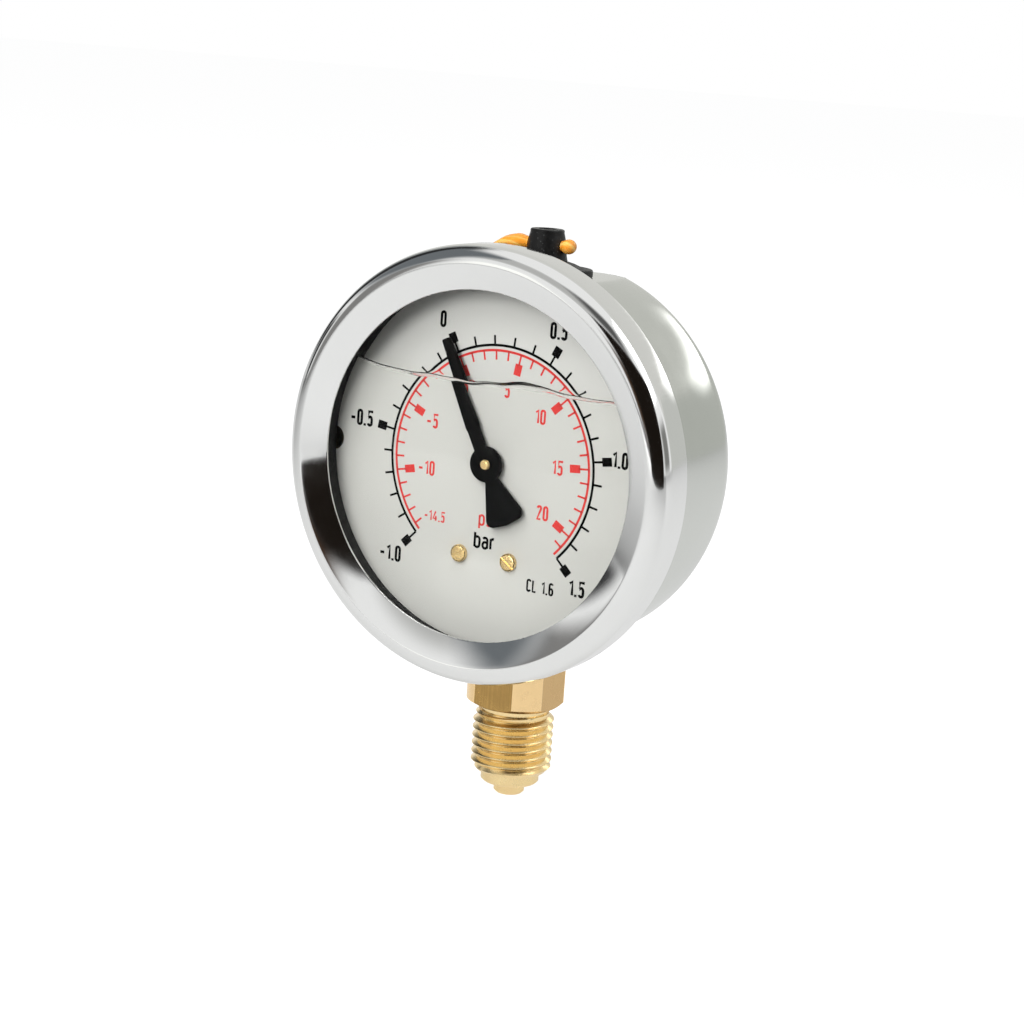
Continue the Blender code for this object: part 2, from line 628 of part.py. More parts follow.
def teeth(pitch_radius, tooth_count, centres):
    """Outline points of gear teeth at the given centre angles, anticlockwise."""
    base = pitch_radius * math.cos(PRESSURE_ANGLE)
    root = pitch_radius - DEDENDUM * GEAR_MODULE
    tip = pitch_radius + ADDENDUM * GEAR_MODULE
    half_pitch = math.pi / tooth_count / 2 - BACKLASH / pitch_radius / 4
    flank = []
    for radius in (root, max(root, base), pitch_radius, tip):
        half = half_pitch + involute(pitch_radius, base) - involute(max(radius, base), base)
        if not flank or radius > flank[-1][0]:
            flank.append((radius, half))
    outline = []
    for centre in centres:
        polar = [(radius, centre - half) for radius, half in flank]
        polar += [(radius, centre + half) for radius, half in reversed(flank)]
        outline += [(radius * math.cos(angle), radius * math.sin(angle)) for radius, angle in polar]
    return outline


def make_pinion(dial_axis):
    """Toothed arbor that carries the pointer."""
    sections = [(ARBOR_TIP_RADIUS, POINTER_FRONT + ARBOR_PROUD)]
    sections += [(ARBOR_RADIUS, POINTER_BACK - POINTER_BOSS_HEIGHT - SEAT_GAP)]
    sections += [(ARBOR_PIVOT_RADIUS, BACK_PLATE_FRONT + RUNNING_GAP)]
    arbor = turned("pinion_arbor", stepped(sections, BACK_PLATE_BACK), "brass", dial_axis)
    pitch = 2 * math.pi / PINION_TEETH
    centres = [LINE_OF_CENTRES + index * pitch for index in range(PINION_TEETH)]
    outline = teeth(PINION_PITCH_RADIUS, PINION_TEETH, centres)
    gear = flat("pinion_teeth", [outline], GEAR_BACK - PINION_OVERLAP, GEAR_FRONT + PINION_OVERLAP, None,
                dial_axis)
    combine(arbor, gear, "UNION")


def make_hairspring(dial_axis):
    """Flat spiral spring, the collet on the arbor and the stud on the back plate."""
    low = BACK_PLATE_FRONT + COLLET_LIFT
    edge = Vector((0.0, 0.0, low + COLLET_HEIGHT / 2 - HAIRSPRING_WIDTH / 2))
    inner = ARBOR_RADIUS + RUNNING_GAP
    high = low + COLLET_HEIGHT
    collet = [(inner, high), (COLLET_RADIUS, high), (COLLET_RADIUS, low), (inner, low)]
    turned("hairspring_collet", collet, "brass", dial_axis, closed=True)
    start = COLLET_RADIUS + SEAT_GAP + HAIRSPRING_STRIP / 2
    bm = bmesh.new()
    line = []
    for index in range(HAIRSPRING_TURNS * HAIRSPRING_TURN_POINTS + 1):
        turns = index / HAIRSPRING_TURN_POINTS
        radius = start + HAIRSPRING_PITCH * turns
        angle = 2 * math.pi * turns
        across = Vector((radius * math.cos(angle), radius * math.sin(angle), 0.0))
        line.append(bm.verts.new(across + edge))
    edges = [bm.edges.new(pair) for pair in zip(line, line[1:])]
    raised = bmesh.ops.extrude_edge_only(bm, edges=edges)["geom"]
    raised = [item for item in raised if isinstance(item, bmesh.types.BMVert)]
    bmesh.ops.translate(bm, verts=raised, vec=(0.0, 0.0, HAIRSPRING_WIDTH))
    mesh = bpy.data.meshes.new("hairspring")
    bm.to_mesh(mesh)
    bm.free()
    spring = add_object("hairspring", mesh, "spring_bronze", dial_axis)
    strip = spring.modifiers.new("strip", "SOLIDIFY")
    strip.thickness = HAIRSPRING_STRIP
    strip.offset = 0.0
    stud_x = start + HAIRSPRING_PITCH * HAIRSPRING_TURNS + HAIRSPRING_STRIP / 2 + SEAT_GAP + STUD_RADIUS
    pin("hairspring_stud", STUD_RADIUS, BACK_PLATE_FRONT + SEAT_GAP, high, "brass", dial_axis,
        location=(stud_x, 0.0, 0.0))


def segment_outline():
    """Toothed sector, hub and tail of the segment gear, about its own arbor."""
    pitch = 2 * math.pi / SEGMENT_TEETH
    contact = LINE_OF_CENTRES + math.pi
    first = math.floor(-SWEEP_UP / GEAR_RATIO / pitch - SPARE_TEETH)
    last = math.ceil(SWEEP_DOWN / GEAR_RATIO / pitch + SPARE_TEETH)
    centres = [contact + (index + 0.5) * pitch for index in range(first, last)]
    outline = teeth(SEGMENT_PITCH_RADIUS, SEGMENT_TEETH, centres)
    start = centres[0] - pitch / 2
    end = centres[-1] + pitch / 2
    rim = SEGMENT_PITCH_RADIUS - RIM_DEPTH
    outline.append((rim * math.cos(end), rim * math.sin(end)))
    half_bar = TAIL_BAR_WIDTH / 2
    lean = math.asin(half_bar / SEGMENT_HUB_RADIUS)
    tail_end = TAIL_ARM + TAIL_SLOT / 2
    centre = (tail_end * math.cos(TAIL_REST_ANGLE), tail_end * math.sin(TAIL_REST_ANGLE))
    quarter = math.pi / 2
    outline += arc(SEGMENT_HUB_RADIUS, end + SPOKE_LEAN, 2 * math.pi + TAIL_REST_ANGLE - lean, ROUND_STEPS)
    outline += arc(half_bar, TAIL_REST_ANGLE - quarter, TAIL_REST_ANGLE + quarter, ROUND_STEPS, centre)
    outline += arc(SEGMENT_HUB_RADIUS, TAIL_REST_ANGLE + lean, start - SPOKE_LEAN, CORNER_STEPS)
    outline.append((rim * math.cos(start), rim * math.sin(start)))
    return outline, start, end


def segment_holes(start, end):
    """Arbor bore, pin slot and fan-shaped opening of the segment gear."""
    low = SEGMENT_HUB_RADIUS + RIM_DEPTH
    high = SEGMENT_PITCH_RADIUS - 2 * RIM_DEPTH
    inset = RIM_DEPTH / high
    fan = arc(high, start + inset, end - inset, ROUND_STEPS)
    fan += arc(low, end - 2 * inset, start + 2 * inset, CORNER_STEPS)
    radius = PIN_RADIUS + RUNNING_GAP
    slot = []
    for sign in (1, -1):
        reach = TAIL_ARM + sign * TAIL_SLOT / 2
        centre = (reach * math.cos(TAIL_REST_ANGLE), reach * math.sin(TAIL_REST_ANGLE))
        facing = TAIL_REST_ANGLE if sign > 0 else TAIL_REST_ANGLE + math.pi
        slot += arc(radius, facing - math.pi / 2, facing + math.pi / 2, ROUND_STEPS, centre)
    return [circle(ARBOR_RADIUS + RUNNING_GAP), fan, slot]


def link_pin(name, parent, location):
    """Shouldered pin with a head on either side of the lever and the link that it joins."""
    sections = [(PIN_HEAD_RADIUS, LINK_FRONT + RUNNING_GAP + PIN_HEAD_HEIGHT)]
    sections += [(PIN_RADIUS, LINK_FRONT + RUNNING_GAP), (PIN_HEAD_RADIUS, GEAR_BACK - RUNNING_GAP)]
    profile = stepped(sections, GEAR_BACK - RUNNING_GAP - PIN_HEAD_HEIGHT)
    turned(name, profile, "brass", parent, location=location)


def make_segment(segment_axis):
    """Segment gear, its arbor and the pin in its tail."""
    outline, start, end = segment_outline()
    outlines = [outline] + segment_holes(start, end)
    flat("segment_gear", outlines, GEAR_BACK, GEAR_FRONT, "brass", segment_axis)
    collar = (SEGMENT_HUB_RADIUS + ARBOR_RADIUS) / 2
    sections = [(ARBOR_PIVOT_RADIUS, FRONT_PLATE_FRONT), (ARBOR_RADIUS, FRONT_PLATE_BACK - RUNNING_GAP)]
    sections += [(collar, GEAR_BACK - RUNNING_GAP), (ARBOR_PIVOT_RADIUS, BACK_PLATE_FRONT + RUNNING_GAP)]
    turned("segment_arbor", stepped(sections, BACK_PLATE_BACK), "brass", segment_axis)
    tail = (TAIL_ARM * math.cos(TAIL_REST_ANGLE), TAIL_ARM * math.sin(TAIL_REST_ANGLE), 0.0)
    link_pin("tail_pin", segment_axis, tail)


def make_link(link_axis):
    """Flat link whose upper eye turns on the tube's end and whose lower eye has spare room."""
    eyes = [(0.0, 0.0), (0.0, -LINK_LENGTH)]
    outline = arc(LINK_EYE, 0.0, math.pi, ROUND_STEPS)
    outline += arc(LINK_EYE, math.pi, 2 * math.pi, ROUND_STEPS, eyes[1])
    holes = [circle(PIN_RADIUS + RUNNING_GAP), circle(PIN_RADIUS + OPEN_PIVOT_GAP, eyes[1])]
    flat("link_bar", [outline] + holes, LINK_BACK, LINK_FRONT, "brass", link_axis)


def make_tube(dial_axis, tip_axis):
    """Bourdon tube, open at its root, and the end piece that closes and carries its free end."""
    swept_oval("bourdon_tube", TUBE_HALF_WIDTH, TUBE_HALF_DEPTH, TUBE_WALL, TUBE_ROOT_ANGLE,
               TUBE_END_ANGLE - TUBE_ROOT_ANGLE, "tube_bronze", dial_axis, location=(0.0, 0.0, TUBE_LEVEL))
    wide = TUBE_HALF_WIDTH + SEAT_GAP + END_CAP_WALL
    deep = TUBE_HALF_DEPTH + SEAT_GAP + END_CAP_WALL
    pivot = Vector((TIP_PIVOT_X, TIP_PIVOT_Y, 0.0))
    end = Vector((TUBE_RADIUS * math.cos(TUBE_END_ANGLE), TUBE_RADIUS * math.sin(TUBE_END_ANGLE), 0.0))
    place = {"location": end - pivot, "rotation": (0, 0, TUBE_END_ANGLE)}
    cap = block("tube_end_piece", (-deep, END_SOCKET_DEPTH - END_CAP_LENGTH, TUBE_LEVEL - wide),
                (deep, END_SOCKET_DEPTH, GEAR_FRONT), "brass", tip_axis, **place)
    wide -= END_CAP_WALL
    deep -= END_CAP_WALL
    socket = block("tube_end_socket", (-deep, -SEAT_GAP, TUBE_LEVEL - wide),
                   (deep, END_SOCKET_DEPTH + CUT_SPARE, TUBE_LEVEL + wide), None, tip_axis, **place)
    pin_spot = (TIP_PIVOT_REACH * math.cos(TIP_REST_ANGLE), TIP_PIVOT_REACH * math.sin(TIP_REST_ANGLE), 0.0)
    middle = end - pivot
    outline = hull_of_circles([pin_spot[:2], (middle.x, middle.y)], LINK_EYE)
    lever = flat("tube_end_lever", [outline], GEAR_BACK, GEAR_FRONT, None, tip_axis)
    combine(cap, lever, "UNION")
    combine(cap, socket, "DIFFERENCE")
    bore(cap, "pin_hole", PIN_RADIUS + RUNNING_GAP, GEAR_BACK - CUT_SPARE, GEAR_FRONT + CUT_SPARE, tip_axis,
         location=pin_spot)
    link_pin("tip_pin", tip_axis, pin_spot)


def plate_outline(with_foot):
    """Edge of a movement plate round its two pillars and the segment arbor."""
    centres = [PILLAR_POINTS["upper"], PILLAR_POINTS["left"], (SEGMENT_X, SEGMENT_Y)]
    outline = hull_of_circles(centres, PLATE_MARGIN)
    if not with_foot:
        return outline
    half = FOOT_WIDTH / 2
    steps = len(outline) // len(centres)
    left_end = Vector(outline[2 * steps - 1])
    right_end = Vector(outline[2 * steps])
    slope = (right_end.y - left_end.y) / (right_end.x - left_end.x)
    foot = [(-half, left_end.y + slope * (-half - left_end.x))]
    foot += [(-half, -FOOT_LENGTH), (half, -FOOT_LENGTH)]
    foot += [(half, left_end.y + slope * (half - left_end.x))]
    return outline[:2 * steps] + foot + outline[2 * steps:]


def make_movement(dial_axis):
    """Two plates, their pillars and the screws that hold them together and to the stem block."""
    bearings = [circle(ARBOR_PIVOT_RADIUS + RUNNING_GAP, (SEGMENT_X, SEGMENT_Y))]
    front_holes = bearings + [circle(ARBOR_RADIUS + RUNNING_GAP)]
    back_holes = bearings + [circle(ARBOR_PIVOT_RADIUS + RUNNING_GAP)]
    for spot in PILLAR_POINTS.values():
        front_holes.append(circle(MOVEMENT_SCREW_SHANK + RUNNING_GAP, spot))
        back_holes.append(circle(PILLAR_STUB + RUNNING_GAP, spot))
    for drop in FOOT_SCREW_DROPS.values():
        back_holes.append(circle(MOVEMENT_SCREW_SHANK + RUNNING_GAP, (0.0, -drop)))
    flat("movement_front_plate", [plate_outline(False)] + front_holes, FRONT_PLATE_BACK, FRONT_PLATE_FRONT,
         "brass", dial_axis)
    flat("movement_back_plate", [plate_outline(True)] + back_holes, BACK_PLATE_BACK, BACK_PLATE_FRONT,
         "brass", dial_axis)
    head = (MOVEMENT_SCREW_HEAD, MOVEMENT_SCREW_HEIGHT)
    shank = (MOVEMENT_SCREW_SHANK, MOVEMENT_SCREW_LENGTH)
    for label, (x, y) in PILLAR_POINTS.items():
        top = FRONT_PLATE_BACK - STACK_GAP
        sections = [(PILLAR_RADIUS, top), (PILLAR_STUB, BACK_PLATE_FRONT + STACK_GAP)]
        pillar = turned("pillar_" + label, stepped(sections, BACK_PLATE_BACK), "brass", dial_axis,
                        location=(x, y, 0.0))
        seat = FRONT_PLATE_FRONT + STACK_GAP
        bore(pillar, "thread", MOVEMENT_SCREW_SHANK + RUNNING_GAP, seat - MOVEMENT_SCREW_LENGTH - SEAT_GAP,
             top + CUT_SPARE, dial_axis, location=(x, y, 0.0))
        slotted_screw("pillar_screw_" + label, head, shank, "screw_steel", dial_axis, location=(x, y, seat))
    for label, drop in FOOT_SCREW_DROPS.items():
        slotted_screw("foot_screw_" + label, head, shank, "screw_steel", dial_axis,
                      location=(0.0, -drop, BACK_PLATE_FRONT + STACK_GAP))


def stem_screw_place(sign):
    """Place of a stem screw's seat on the case, turned so that its head points out of the case."""
    angle = sign * STEM_SCREW_ANGLE
    location = (CASE_RADIUS * math.sin(angle), -CASE_RADIUS * math.cos(angle), 0.0)
    return {"location": location, "rotation": (math.pi / 2, 0, angle)}


def make_thread(stem_axis):
    """Helical thread between the guide and the undercut, with both ends tapered."""
    flat_height = THREAD_PITCH * THREAD_FLAT
    flank = (THREAD_PITCH - 2 * flat_height) / 2
    inner = THREAD_ROOT_RADIUS
    profile = [(inner, 0.0), (inner, flat_height), (THREAD_RADIUS, flat_height + flank)]
    profile += [(THREAD_RADIUS, 2 * flat_height + flank), (inner, THREAD_PITCH)]
    bottom = GUIDE_LENGTH
    turns = math.ceil((THREAD_TOP - bottom) / THREAD_PITCH) + 2
    bm = bmesh.new()
    points = [bm.verts.new((radius, 0.0, bottom - 2 * THREAD_PITCH + height)) for radius, height in profile]
    edges = [bm.edges.new(pair) for pair in zip(points, points[1:])]
    bmesh.ops.spin(bm, geom=points + edges, axis=(0, 0, 1), cent=(0, 0, 0), angle=2 * math.pi * turns,
                   dvec=(0.0, 0.0, THREAD_PITCH / THREAD_STEPS), steps=THREAD_STEPS * turns)
    bmesh.ops.remove_doubles(bm, verts=bm.verts, dist=MERGE_DISTANCE)
    for height, side in ((bottom, -1), (THREAD_TOP, 1)):
        everything = list(bm.verts) + list(bm.edges) + list(bm.faces)
        bmesh.ops.bisect_plane(bm, geom=everything, plane_co=(0.0, 0.0, height), plane_no=(0.0, 0.0, side),
                               clear_outer=True)
        level = [vert for vert in bm.verts if abs(vert.co.z - height) < MERGE_DISTANCE]
        rim = [edge for edge in bm.edges if edge.is_boundary and all(vert in level for vert in edge.verts)]
        bmesh.ops.contextual_create(bm, geom=rim)
    bmesh.ops.recalc_face_normals(bm, faces=bm.faces)
    mesh = bpy.data.meshes.new("stem_thread")
    bm.to_mesh(mesh)
    bm.free()
    thread = add_object("stem_thread", mesh, None, stem_axis)
    taper = THREAD_DEPTH + SEAT_GAP
    low = bottom - SEAT_GAP
    high = THREAD_TOP + SEAT_GAP
    wide = THREAD_RADIUS + SEAT_GAP
    narrow = inner - SEAT_GAP / 2
    envelope = [(0.0, high), (narrow, high), (wide, THREAD_TOP - taper), (wide, bottom + taper)]
    envelope += [(narrow, low), (0.0, low)]
    tool = turned("stem_thread_taper", envelope, None, stem_axis, steps=STEM_STEPS)
    combine(thread, tool, "INTERSECT")
    return thread


def make_flats(stem_axis):
    """Square with broken corners for the wrench, tapered at its lower edge."""
    half = FLATS_ACROSS / 2
    short = half - FLATS_CORNER
    outline = []
    for turn in range(4):
        cos, sin = round(math.cos(turn * math.pi / 2)), round(math.sin(turn * math.pi / 2))
        outline += [(x * cos - y * sin, x * sin + y * cos) for x, y in ((half, -short), (half, short))]
    top = CENTRE_HEIGHT - CASE_RADIUS - SEAT_GAP
    flats = flat("stem_flats", [outline], CONNECTION_LENGTH, top, None, stem_axis)
    corner = math.hypot(half, short)
    profile = [(0.0, top + CUT_SPARE), (corner + SEAT_GAP, top + CUT_SPARE)]
    profile += [(corner + SEAT_GAP, CONNECTION_LENGTH + FLATS_CHAMFER), (half - SEAT_GAP, CONNECTION_LENGTH)]
    profile += [(half - SEAT_GAP, CONNECTION_LENGTH - CUT_SPARE), (0.0, CONNECTION_LENGTH - CUT_SPARE)]
    tool = turned("stem_flats_taper", profile, None, stem_axis, steps=STEM_STEPS)
    combine(flats, tool, "INTERSECT")
    return flats


def make_block(dial_axis):
    """Inner end of the stem: a wide base shaped to the case and a block for tube and movement."""
    half = BLOCK_WIDTH / 2
    base_half = STEM_SCREW_OFFSET + STEM_SCREW_HEAD
    base_top = -BLOCK_BOTTOM_RADIUS + BLOCK_BASE_HEIGHT
    base_depth = BLOCK_BASE_DEPTH / 2
    inner = block("stem_block", (-half, -CASE_RADIUS, BLOCK_BACK), (half, -BLOCK_DROP, BLOCK_FRONT), None,
                  dial_axis)
    base = block("stem_base", (-base_half, -CASE_RADIUS, -base_depth), (base_half, base_top, base_depth),
                 None, dial_axis)
    barrel = turned("stem_block_barrel", stepped([(BLOCK_BOTTOM_RADIUS, CASE_RADIUS)], -CASE_RADIUS), None,
                    dial_axis, steps=LARGE_STEPS)
    combine(inner, base, "UNION")
    combine(inner, barrel, "INTERSECT")
    return inner


def make_stem(dial_axis, stem_axis):
    """Brass stem: spigot, guide, thread, flats, neck and inner block, bored for the pressure."""
    neck_top = CENTRE_HEIGHT - BLOCK_BOTTOM_RADIUS + BLOCK_BASE_HEIGHT / 2
    sections = [(NECK_RADIUS, neck_top), (CORE_RADIUS, CONNECTION_LENGTH)]
    sections += [(GUIDE_RADIUS, GUIDE_LENGTH), (SPIGOT_RADIUS, 0.0)]
    stem = turned("stem", stepped(sections, -SPIGOT_LENGTH), "brass", stem_axis, steps=STEM_STEPS)
    for tool in (make_flats(stem_axis), make_thread(stem_axis), make_block(dial_axis)):
        combine(stem, tool, "UNION")
    root = Vector((TUBE_RADIUS * math.cos(TUBE_ROOT_ANGLE), -TUBE_LEVEL,
                   CENTRE_HEIGHT + TUBE_RADIUS * math.sin(TUBE_ROOT_ANGLE)))
    bore(stem, "port", PORT_RADIUS, -SPIGOT_LENGTH - CUT_SPARE, root.z + PORT_RADIUS, stem_axis)
    channel = Vector((root.x, root.y, 0.0))
    bore(stem, "channel", CHANNEL_RADIUS, 0.0, channel.length, stem_axis, location=(0.0, 0.0, root.z),
         rotation=channel.to_track_quat("Z", "Y").to_euler())
    slot = swept_oval("stem_tube_slot", TUBE_HALF_WIDTH + SEAT_GAP, TUBE_HALF_DEPTH + SEAT_GAP, 0.0,
                      TUBE_ROOT_ANGLE + SLOT_SPARE_ANGLE, -SLOT_SWEEP, None, dial_axis,
                      location=(0.0, 0.0, TUBE_LEVEL))
    combine(stem, slot, "DIFFERENCE")
    floor = BACK_PLATE_FRONT + STACK_GAP - MOVEMENT_SCREW_LENGTH - SEAT_GAP
    for label, drop in FOOT_SCREW_DROPS.items():
        bore(stem, label + "_foot_thread", MOVEMENT_SCREW_SHANK + RUNNING_GAP, floor,
             BLOCK_FRONT + CUT_SPARE, dial_axis, location=(0.0, -drop, 0.0))
    lift = (CASE_RADIUS + STACK_GAP) / CASE_RADIUS
    for side, sign in (("left", -1), ("right", 1)):
        place = stem_screw_place(sign)
        bore(stem, side + "_screw_thread", STEM_SCREW_SHANK + RUNNING_GAP, -STEM_SCREW_LENGTH - SEAT_GAP,
             CASE_RADIUS - BLOCK_BOTTOM_RADIUS, dial_axis, **place)
        place["location"] = tuple(lift * value for value in place["location"])
        slotted_screw("stem_screw_" + side, (STEM_SCREW_HEAD, STEM_SCREW_HEIGHT),
                      (STEM_SCREW_SHANK, STEM_SCREW_LENGTH), "screw_steel", dial_axis, **place)


def make_gasket(dial_axis, stem_axis):
    """Saddle-shaped gasket round the neck, between the case and the stem's base."""
    low = CENTRE_HEIGHT - CASE_RADIUS
    high = CENTRE_HEIGHT - BLOCK_BOTTOM_RADIUS + GASKET_WIDTH
    inner = NECK_RADIUS + SEAT_GAP
    outer = inner + GASKET_WIDTH
    gasket = turned("stem_gasket", [(inner, high), (outer, high), (outer, low), (inner, low)], "black_rubber",
                    stem_axis, steps=STEM_STEPS, closed=True)
    inset = CASE_WALL + STACK_GAP
    tool = case_shell("stem_gasket_shell", inset, inset + GASKET_THICKNESS, dial_axis)
    combine(gasket, tool, "INTERSECT")


def make_vent(dial_axis, vent_axis):
    """Rubber plug with its saddle, the turret that turns in it and the lever through the turret."""
    base = CASE_RADIUS + STACK_GAP
    bottom = CASE_INNER_RADIUS - PLUG_LIP_HEIGHT - SEAT_GAP
    saddle = pin("vent_plug_saddle", SADDLE_RADIUS, CASE_INNER_RADIUS - SADDLE_RADIUS / 2,
                 SADDLE_TOP + CUT_SPARE, None, vent_axis, steps=STEM_STEPS)
    tool = case_shell("vent_plug_shell", CASE_RADIUS - SADDLE_TOP, -STACK_GAP, dial_axis)
    combine(saddle, tool, "INTERSECT")
    neck_top = base + SADDLE_THICKNESS / 2
    sections = [(PLUG_NECK_RADIUS, neck_top), (PLUG_NECK_RADIUS + PLUG_LIP, bottom + PLUG_LIP_HEIGHT / 2)]
    plug = turned("vent_plug", stepped(sections, bottom), "black_rubber", vent_axis)
    combine(plug, saddle, "UNION")
    bore(plug, "bore", TURRET_SPINDLE_RADIUS + RUNNING_GAP, bottom - CUT_SPARE, SADDLE_TOP + CUT_SPARE,
         vent_axis)
    make_turret(vent_axis, bottom)
    make_lever(vent_axis)


def make_turret(vent_axis, bottom):
    """Tapered turret with a recess in its top, a spindle below and a cross hole for the lever."""
    top = TURRET_BOTTOM + TURRET_HEIGHT
    profile = [(0.0, top - TURRET_RECESS_DEPTH), (TURRET_RECESS_RADIUS, top - TURRET_RECESS_DEPTH)]
    profile += [(TURRET_RECESS_RADIUS, top), (TURRET_TOP_RADIUS, top), (TURRET_BASE_RADIUS, TURRET_BOTTOM)]
    profile += [(TURRET_SPINDLE_RADIUS, TURRET_BOTTOM), (TURRET_SPINDLE_RADIUS, bottom), (0.0, bottom)]
    turret = turned("vent_turret", profile, "black_rubber", vent_axis, steps=STEM_STEPS)
    bore(turret, "cross_hole", LEVER_RADIUS + RUNNING_GAP, -TURRET_BASE_RADIUS - CUT_SPARE,
         TURRET_BASE_RADIUS + CUT_SPARE, vent_axis, location=(0.0, 0.0, LEVER_HEIGHT),
         rotation=(0, math.pi / 2, 0))


def make_lever(vent_axis):
    """Lever: a round rod with a domed end on the right and a drooping paddle on the left."""
    start = -TURRET_BASE_RADIUS - SEAT_GAP
    dome = arc(LEVER_RADIUS, math.pi / 2, 0.0, CORNER_STEPS, (0.0, LEVER_STUB))
    rod = dome + [(LEVER_RADIUS, start - CUT_SPARE), (0.0, start - CUT_SPARE)]
    lever = turned("vent_lever", rod, "lever_orange", vent_axis, location=(0.0, 0.0, LEVER_HEIGHT),
                   rotation=(0, math.pi / 2, 0))
    side = [(start, -PADDLE_BELLY), (start, PADDLE_RISE), (start - PADDLE_RISE, PADDLE_RISE)]
    side += [(-PADDLE_SHOULDER, PADDLE_SHOULDER_RISE), (-PADDLE_REACH, PADDLE_TIP_RISE)]
    side += [(-PADDLE_REACH, -PADDLE_DROOP), (-SADDLE_RADIUS - SEAT_GAP, -PADDLE_BELLY)]
    paddle = flat("vent_lever_paddle", [side], -PADDLE_WIDTH / 2, PADDLE_WIDTH / 2, None, vent_axis,
                  location=(0.0, 0.0, LEVER_HEIGHT), rotation=(math.pi / 2, 0, 0))
    combine(lever, paddle, "UNION")


def main():
    """Build every piece of the gauge."""
    clear_scene()
    stem_axis = add_empty("stem_axis", None, (0, 0, 0))
    dial_axis = add_empty("dial_axis", None, (0, 0, CENTRE_HEIGHT), (math.pi / 2, 0, 0))
    segment_axis = add_empty("segment_axis", dial_axis, (SEGMENT_X, SEGMENT_Y, 0))
    tip_axis = add_empty("tip_axis", dial_axis, (TIP_PIVOT_X, TIP_PIVOT_Y, 0))
    reach = (TIP_PIVOT_REACH * math.cos(TIP_REST_ANGLE), TIP_PIVOT_REACH * math.sin(TIP_REST_ANGLE), 0)
    link_axis = add_empty("link_axis", tip_axis, reach)
    vent_axis = add_empty("vent_axis", None, (0, 0, CENTRE_HEIGHT))
    make_case(dial_axis, stem_axis, vent_axis)
    make_ring(dial_axis)
    make_window(dial_axis)
    make_dial(dial_axis)
    make_pointer(dial_axis)
    make_pinion(dial_axis)
    make_hairspring(dial_axis)
    make_segment(segment_axis)
    make_link(link_axis)
    make_tube(dial_axis, tip_axis)
    make_movement(dial_axis)
    make_stem(dial_axis, stem_axis)
    make_gasket(dial_axis, stem_axis)
    make_vent(dial_axis, vent_axis)
    for obj in bpy.data.collections["pressure_gauge"].objects:
        if obj.type == "MESH":
            shade(obj.data)


if __name__ == "__main__":
    main()
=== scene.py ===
"""Looks of the liquid-filled pressure gauge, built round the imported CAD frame.

Pieces are drawn in millimetres in one of three working frames, and placed in the row frame, in
metres, when they are published. Places that pieces share with the CAD are read from the frame.
"""
import json
import logging
import math
from dataclasses import dataclass, field
from enum import Enum
from typing import ClassVar, Iterable, Sequence

import bmesh
import bpy
from mathutils import Matrix, Vector

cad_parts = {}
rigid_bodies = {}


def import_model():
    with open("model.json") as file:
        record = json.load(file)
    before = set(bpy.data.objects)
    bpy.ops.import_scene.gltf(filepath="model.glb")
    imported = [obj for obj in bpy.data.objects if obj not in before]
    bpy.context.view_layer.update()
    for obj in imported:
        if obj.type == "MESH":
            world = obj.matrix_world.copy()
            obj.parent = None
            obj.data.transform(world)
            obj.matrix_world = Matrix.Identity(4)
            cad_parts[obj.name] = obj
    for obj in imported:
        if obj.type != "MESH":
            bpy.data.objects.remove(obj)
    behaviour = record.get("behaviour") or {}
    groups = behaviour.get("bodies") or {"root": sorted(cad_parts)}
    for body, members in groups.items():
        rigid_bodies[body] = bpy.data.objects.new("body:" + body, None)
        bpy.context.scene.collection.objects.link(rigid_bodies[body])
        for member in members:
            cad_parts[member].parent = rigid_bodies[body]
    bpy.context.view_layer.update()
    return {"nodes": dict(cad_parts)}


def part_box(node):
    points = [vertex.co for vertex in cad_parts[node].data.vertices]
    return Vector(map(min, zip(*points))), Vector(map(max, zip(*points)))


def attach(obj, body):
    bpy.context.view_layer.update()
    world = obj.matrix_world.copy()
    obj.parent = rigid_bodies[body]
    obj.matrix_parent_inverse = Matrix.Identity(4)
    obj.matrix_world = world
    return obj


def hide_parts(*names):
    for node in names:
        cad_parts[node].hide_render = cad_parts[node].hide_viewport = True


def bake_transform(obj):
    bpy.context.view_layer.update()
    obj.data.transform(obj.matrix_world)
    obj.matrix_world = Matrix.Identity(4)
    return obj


MM = 0.001
MERGE_DISTANCE = 0.0005
SHARP_ANGLE = math.radians(32.0)
SOFT_ANGLE = math.radians(40.0)
SOFT_SEGMENTS = 2
WHITE = (1.0, 1.0, 1.0, 1.0)
LOG = logging.getLogger("pressure_gauge")

Point = tuple[float, float]
Colour = tuple[float, float, float]
Station = tuple[float, float, float, float]
BMesh = bmesh.types.BMesh
Node = bpy.types.Node
Socket = bpy.types.NodeSocket
Outputs = bpy.types.NodeOutputs


class Body(Enum):
    """CAD bodies that pieces ride on."""

    GAUGE = "gauge_body"
    POINTER = "pointer_set"
    VENT = "vent_set"
    TUBE_END = "tube_end_set"


class Slot(Enum):
    """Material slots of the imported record."""

    CASE = "stainless_case"
    RING = "polished_ring"
    WINDOW = "clear_window"
    RUBBER = "black_rubber"
    DIAL = "dial_white"
    POINTER = "pointer_black"
    BRASS = "brass"
    TUBE = "tube_bronze"
    STEEL = "screw_steel"
    LEVER = "lever_orange"


class Place(Enum):
    """Working frames that pieces are drawn in."""

    ROW = "row axes, from the stem's sealing face"
    DIAL = "x right, y up and z out of the dial, from the dial axis"
    VENT = "row axes, from the dial axis"


class Side(Enum):
    """Left and right as seen from the front of the dial."""

    LEFT = -1
    RIGHT = 1


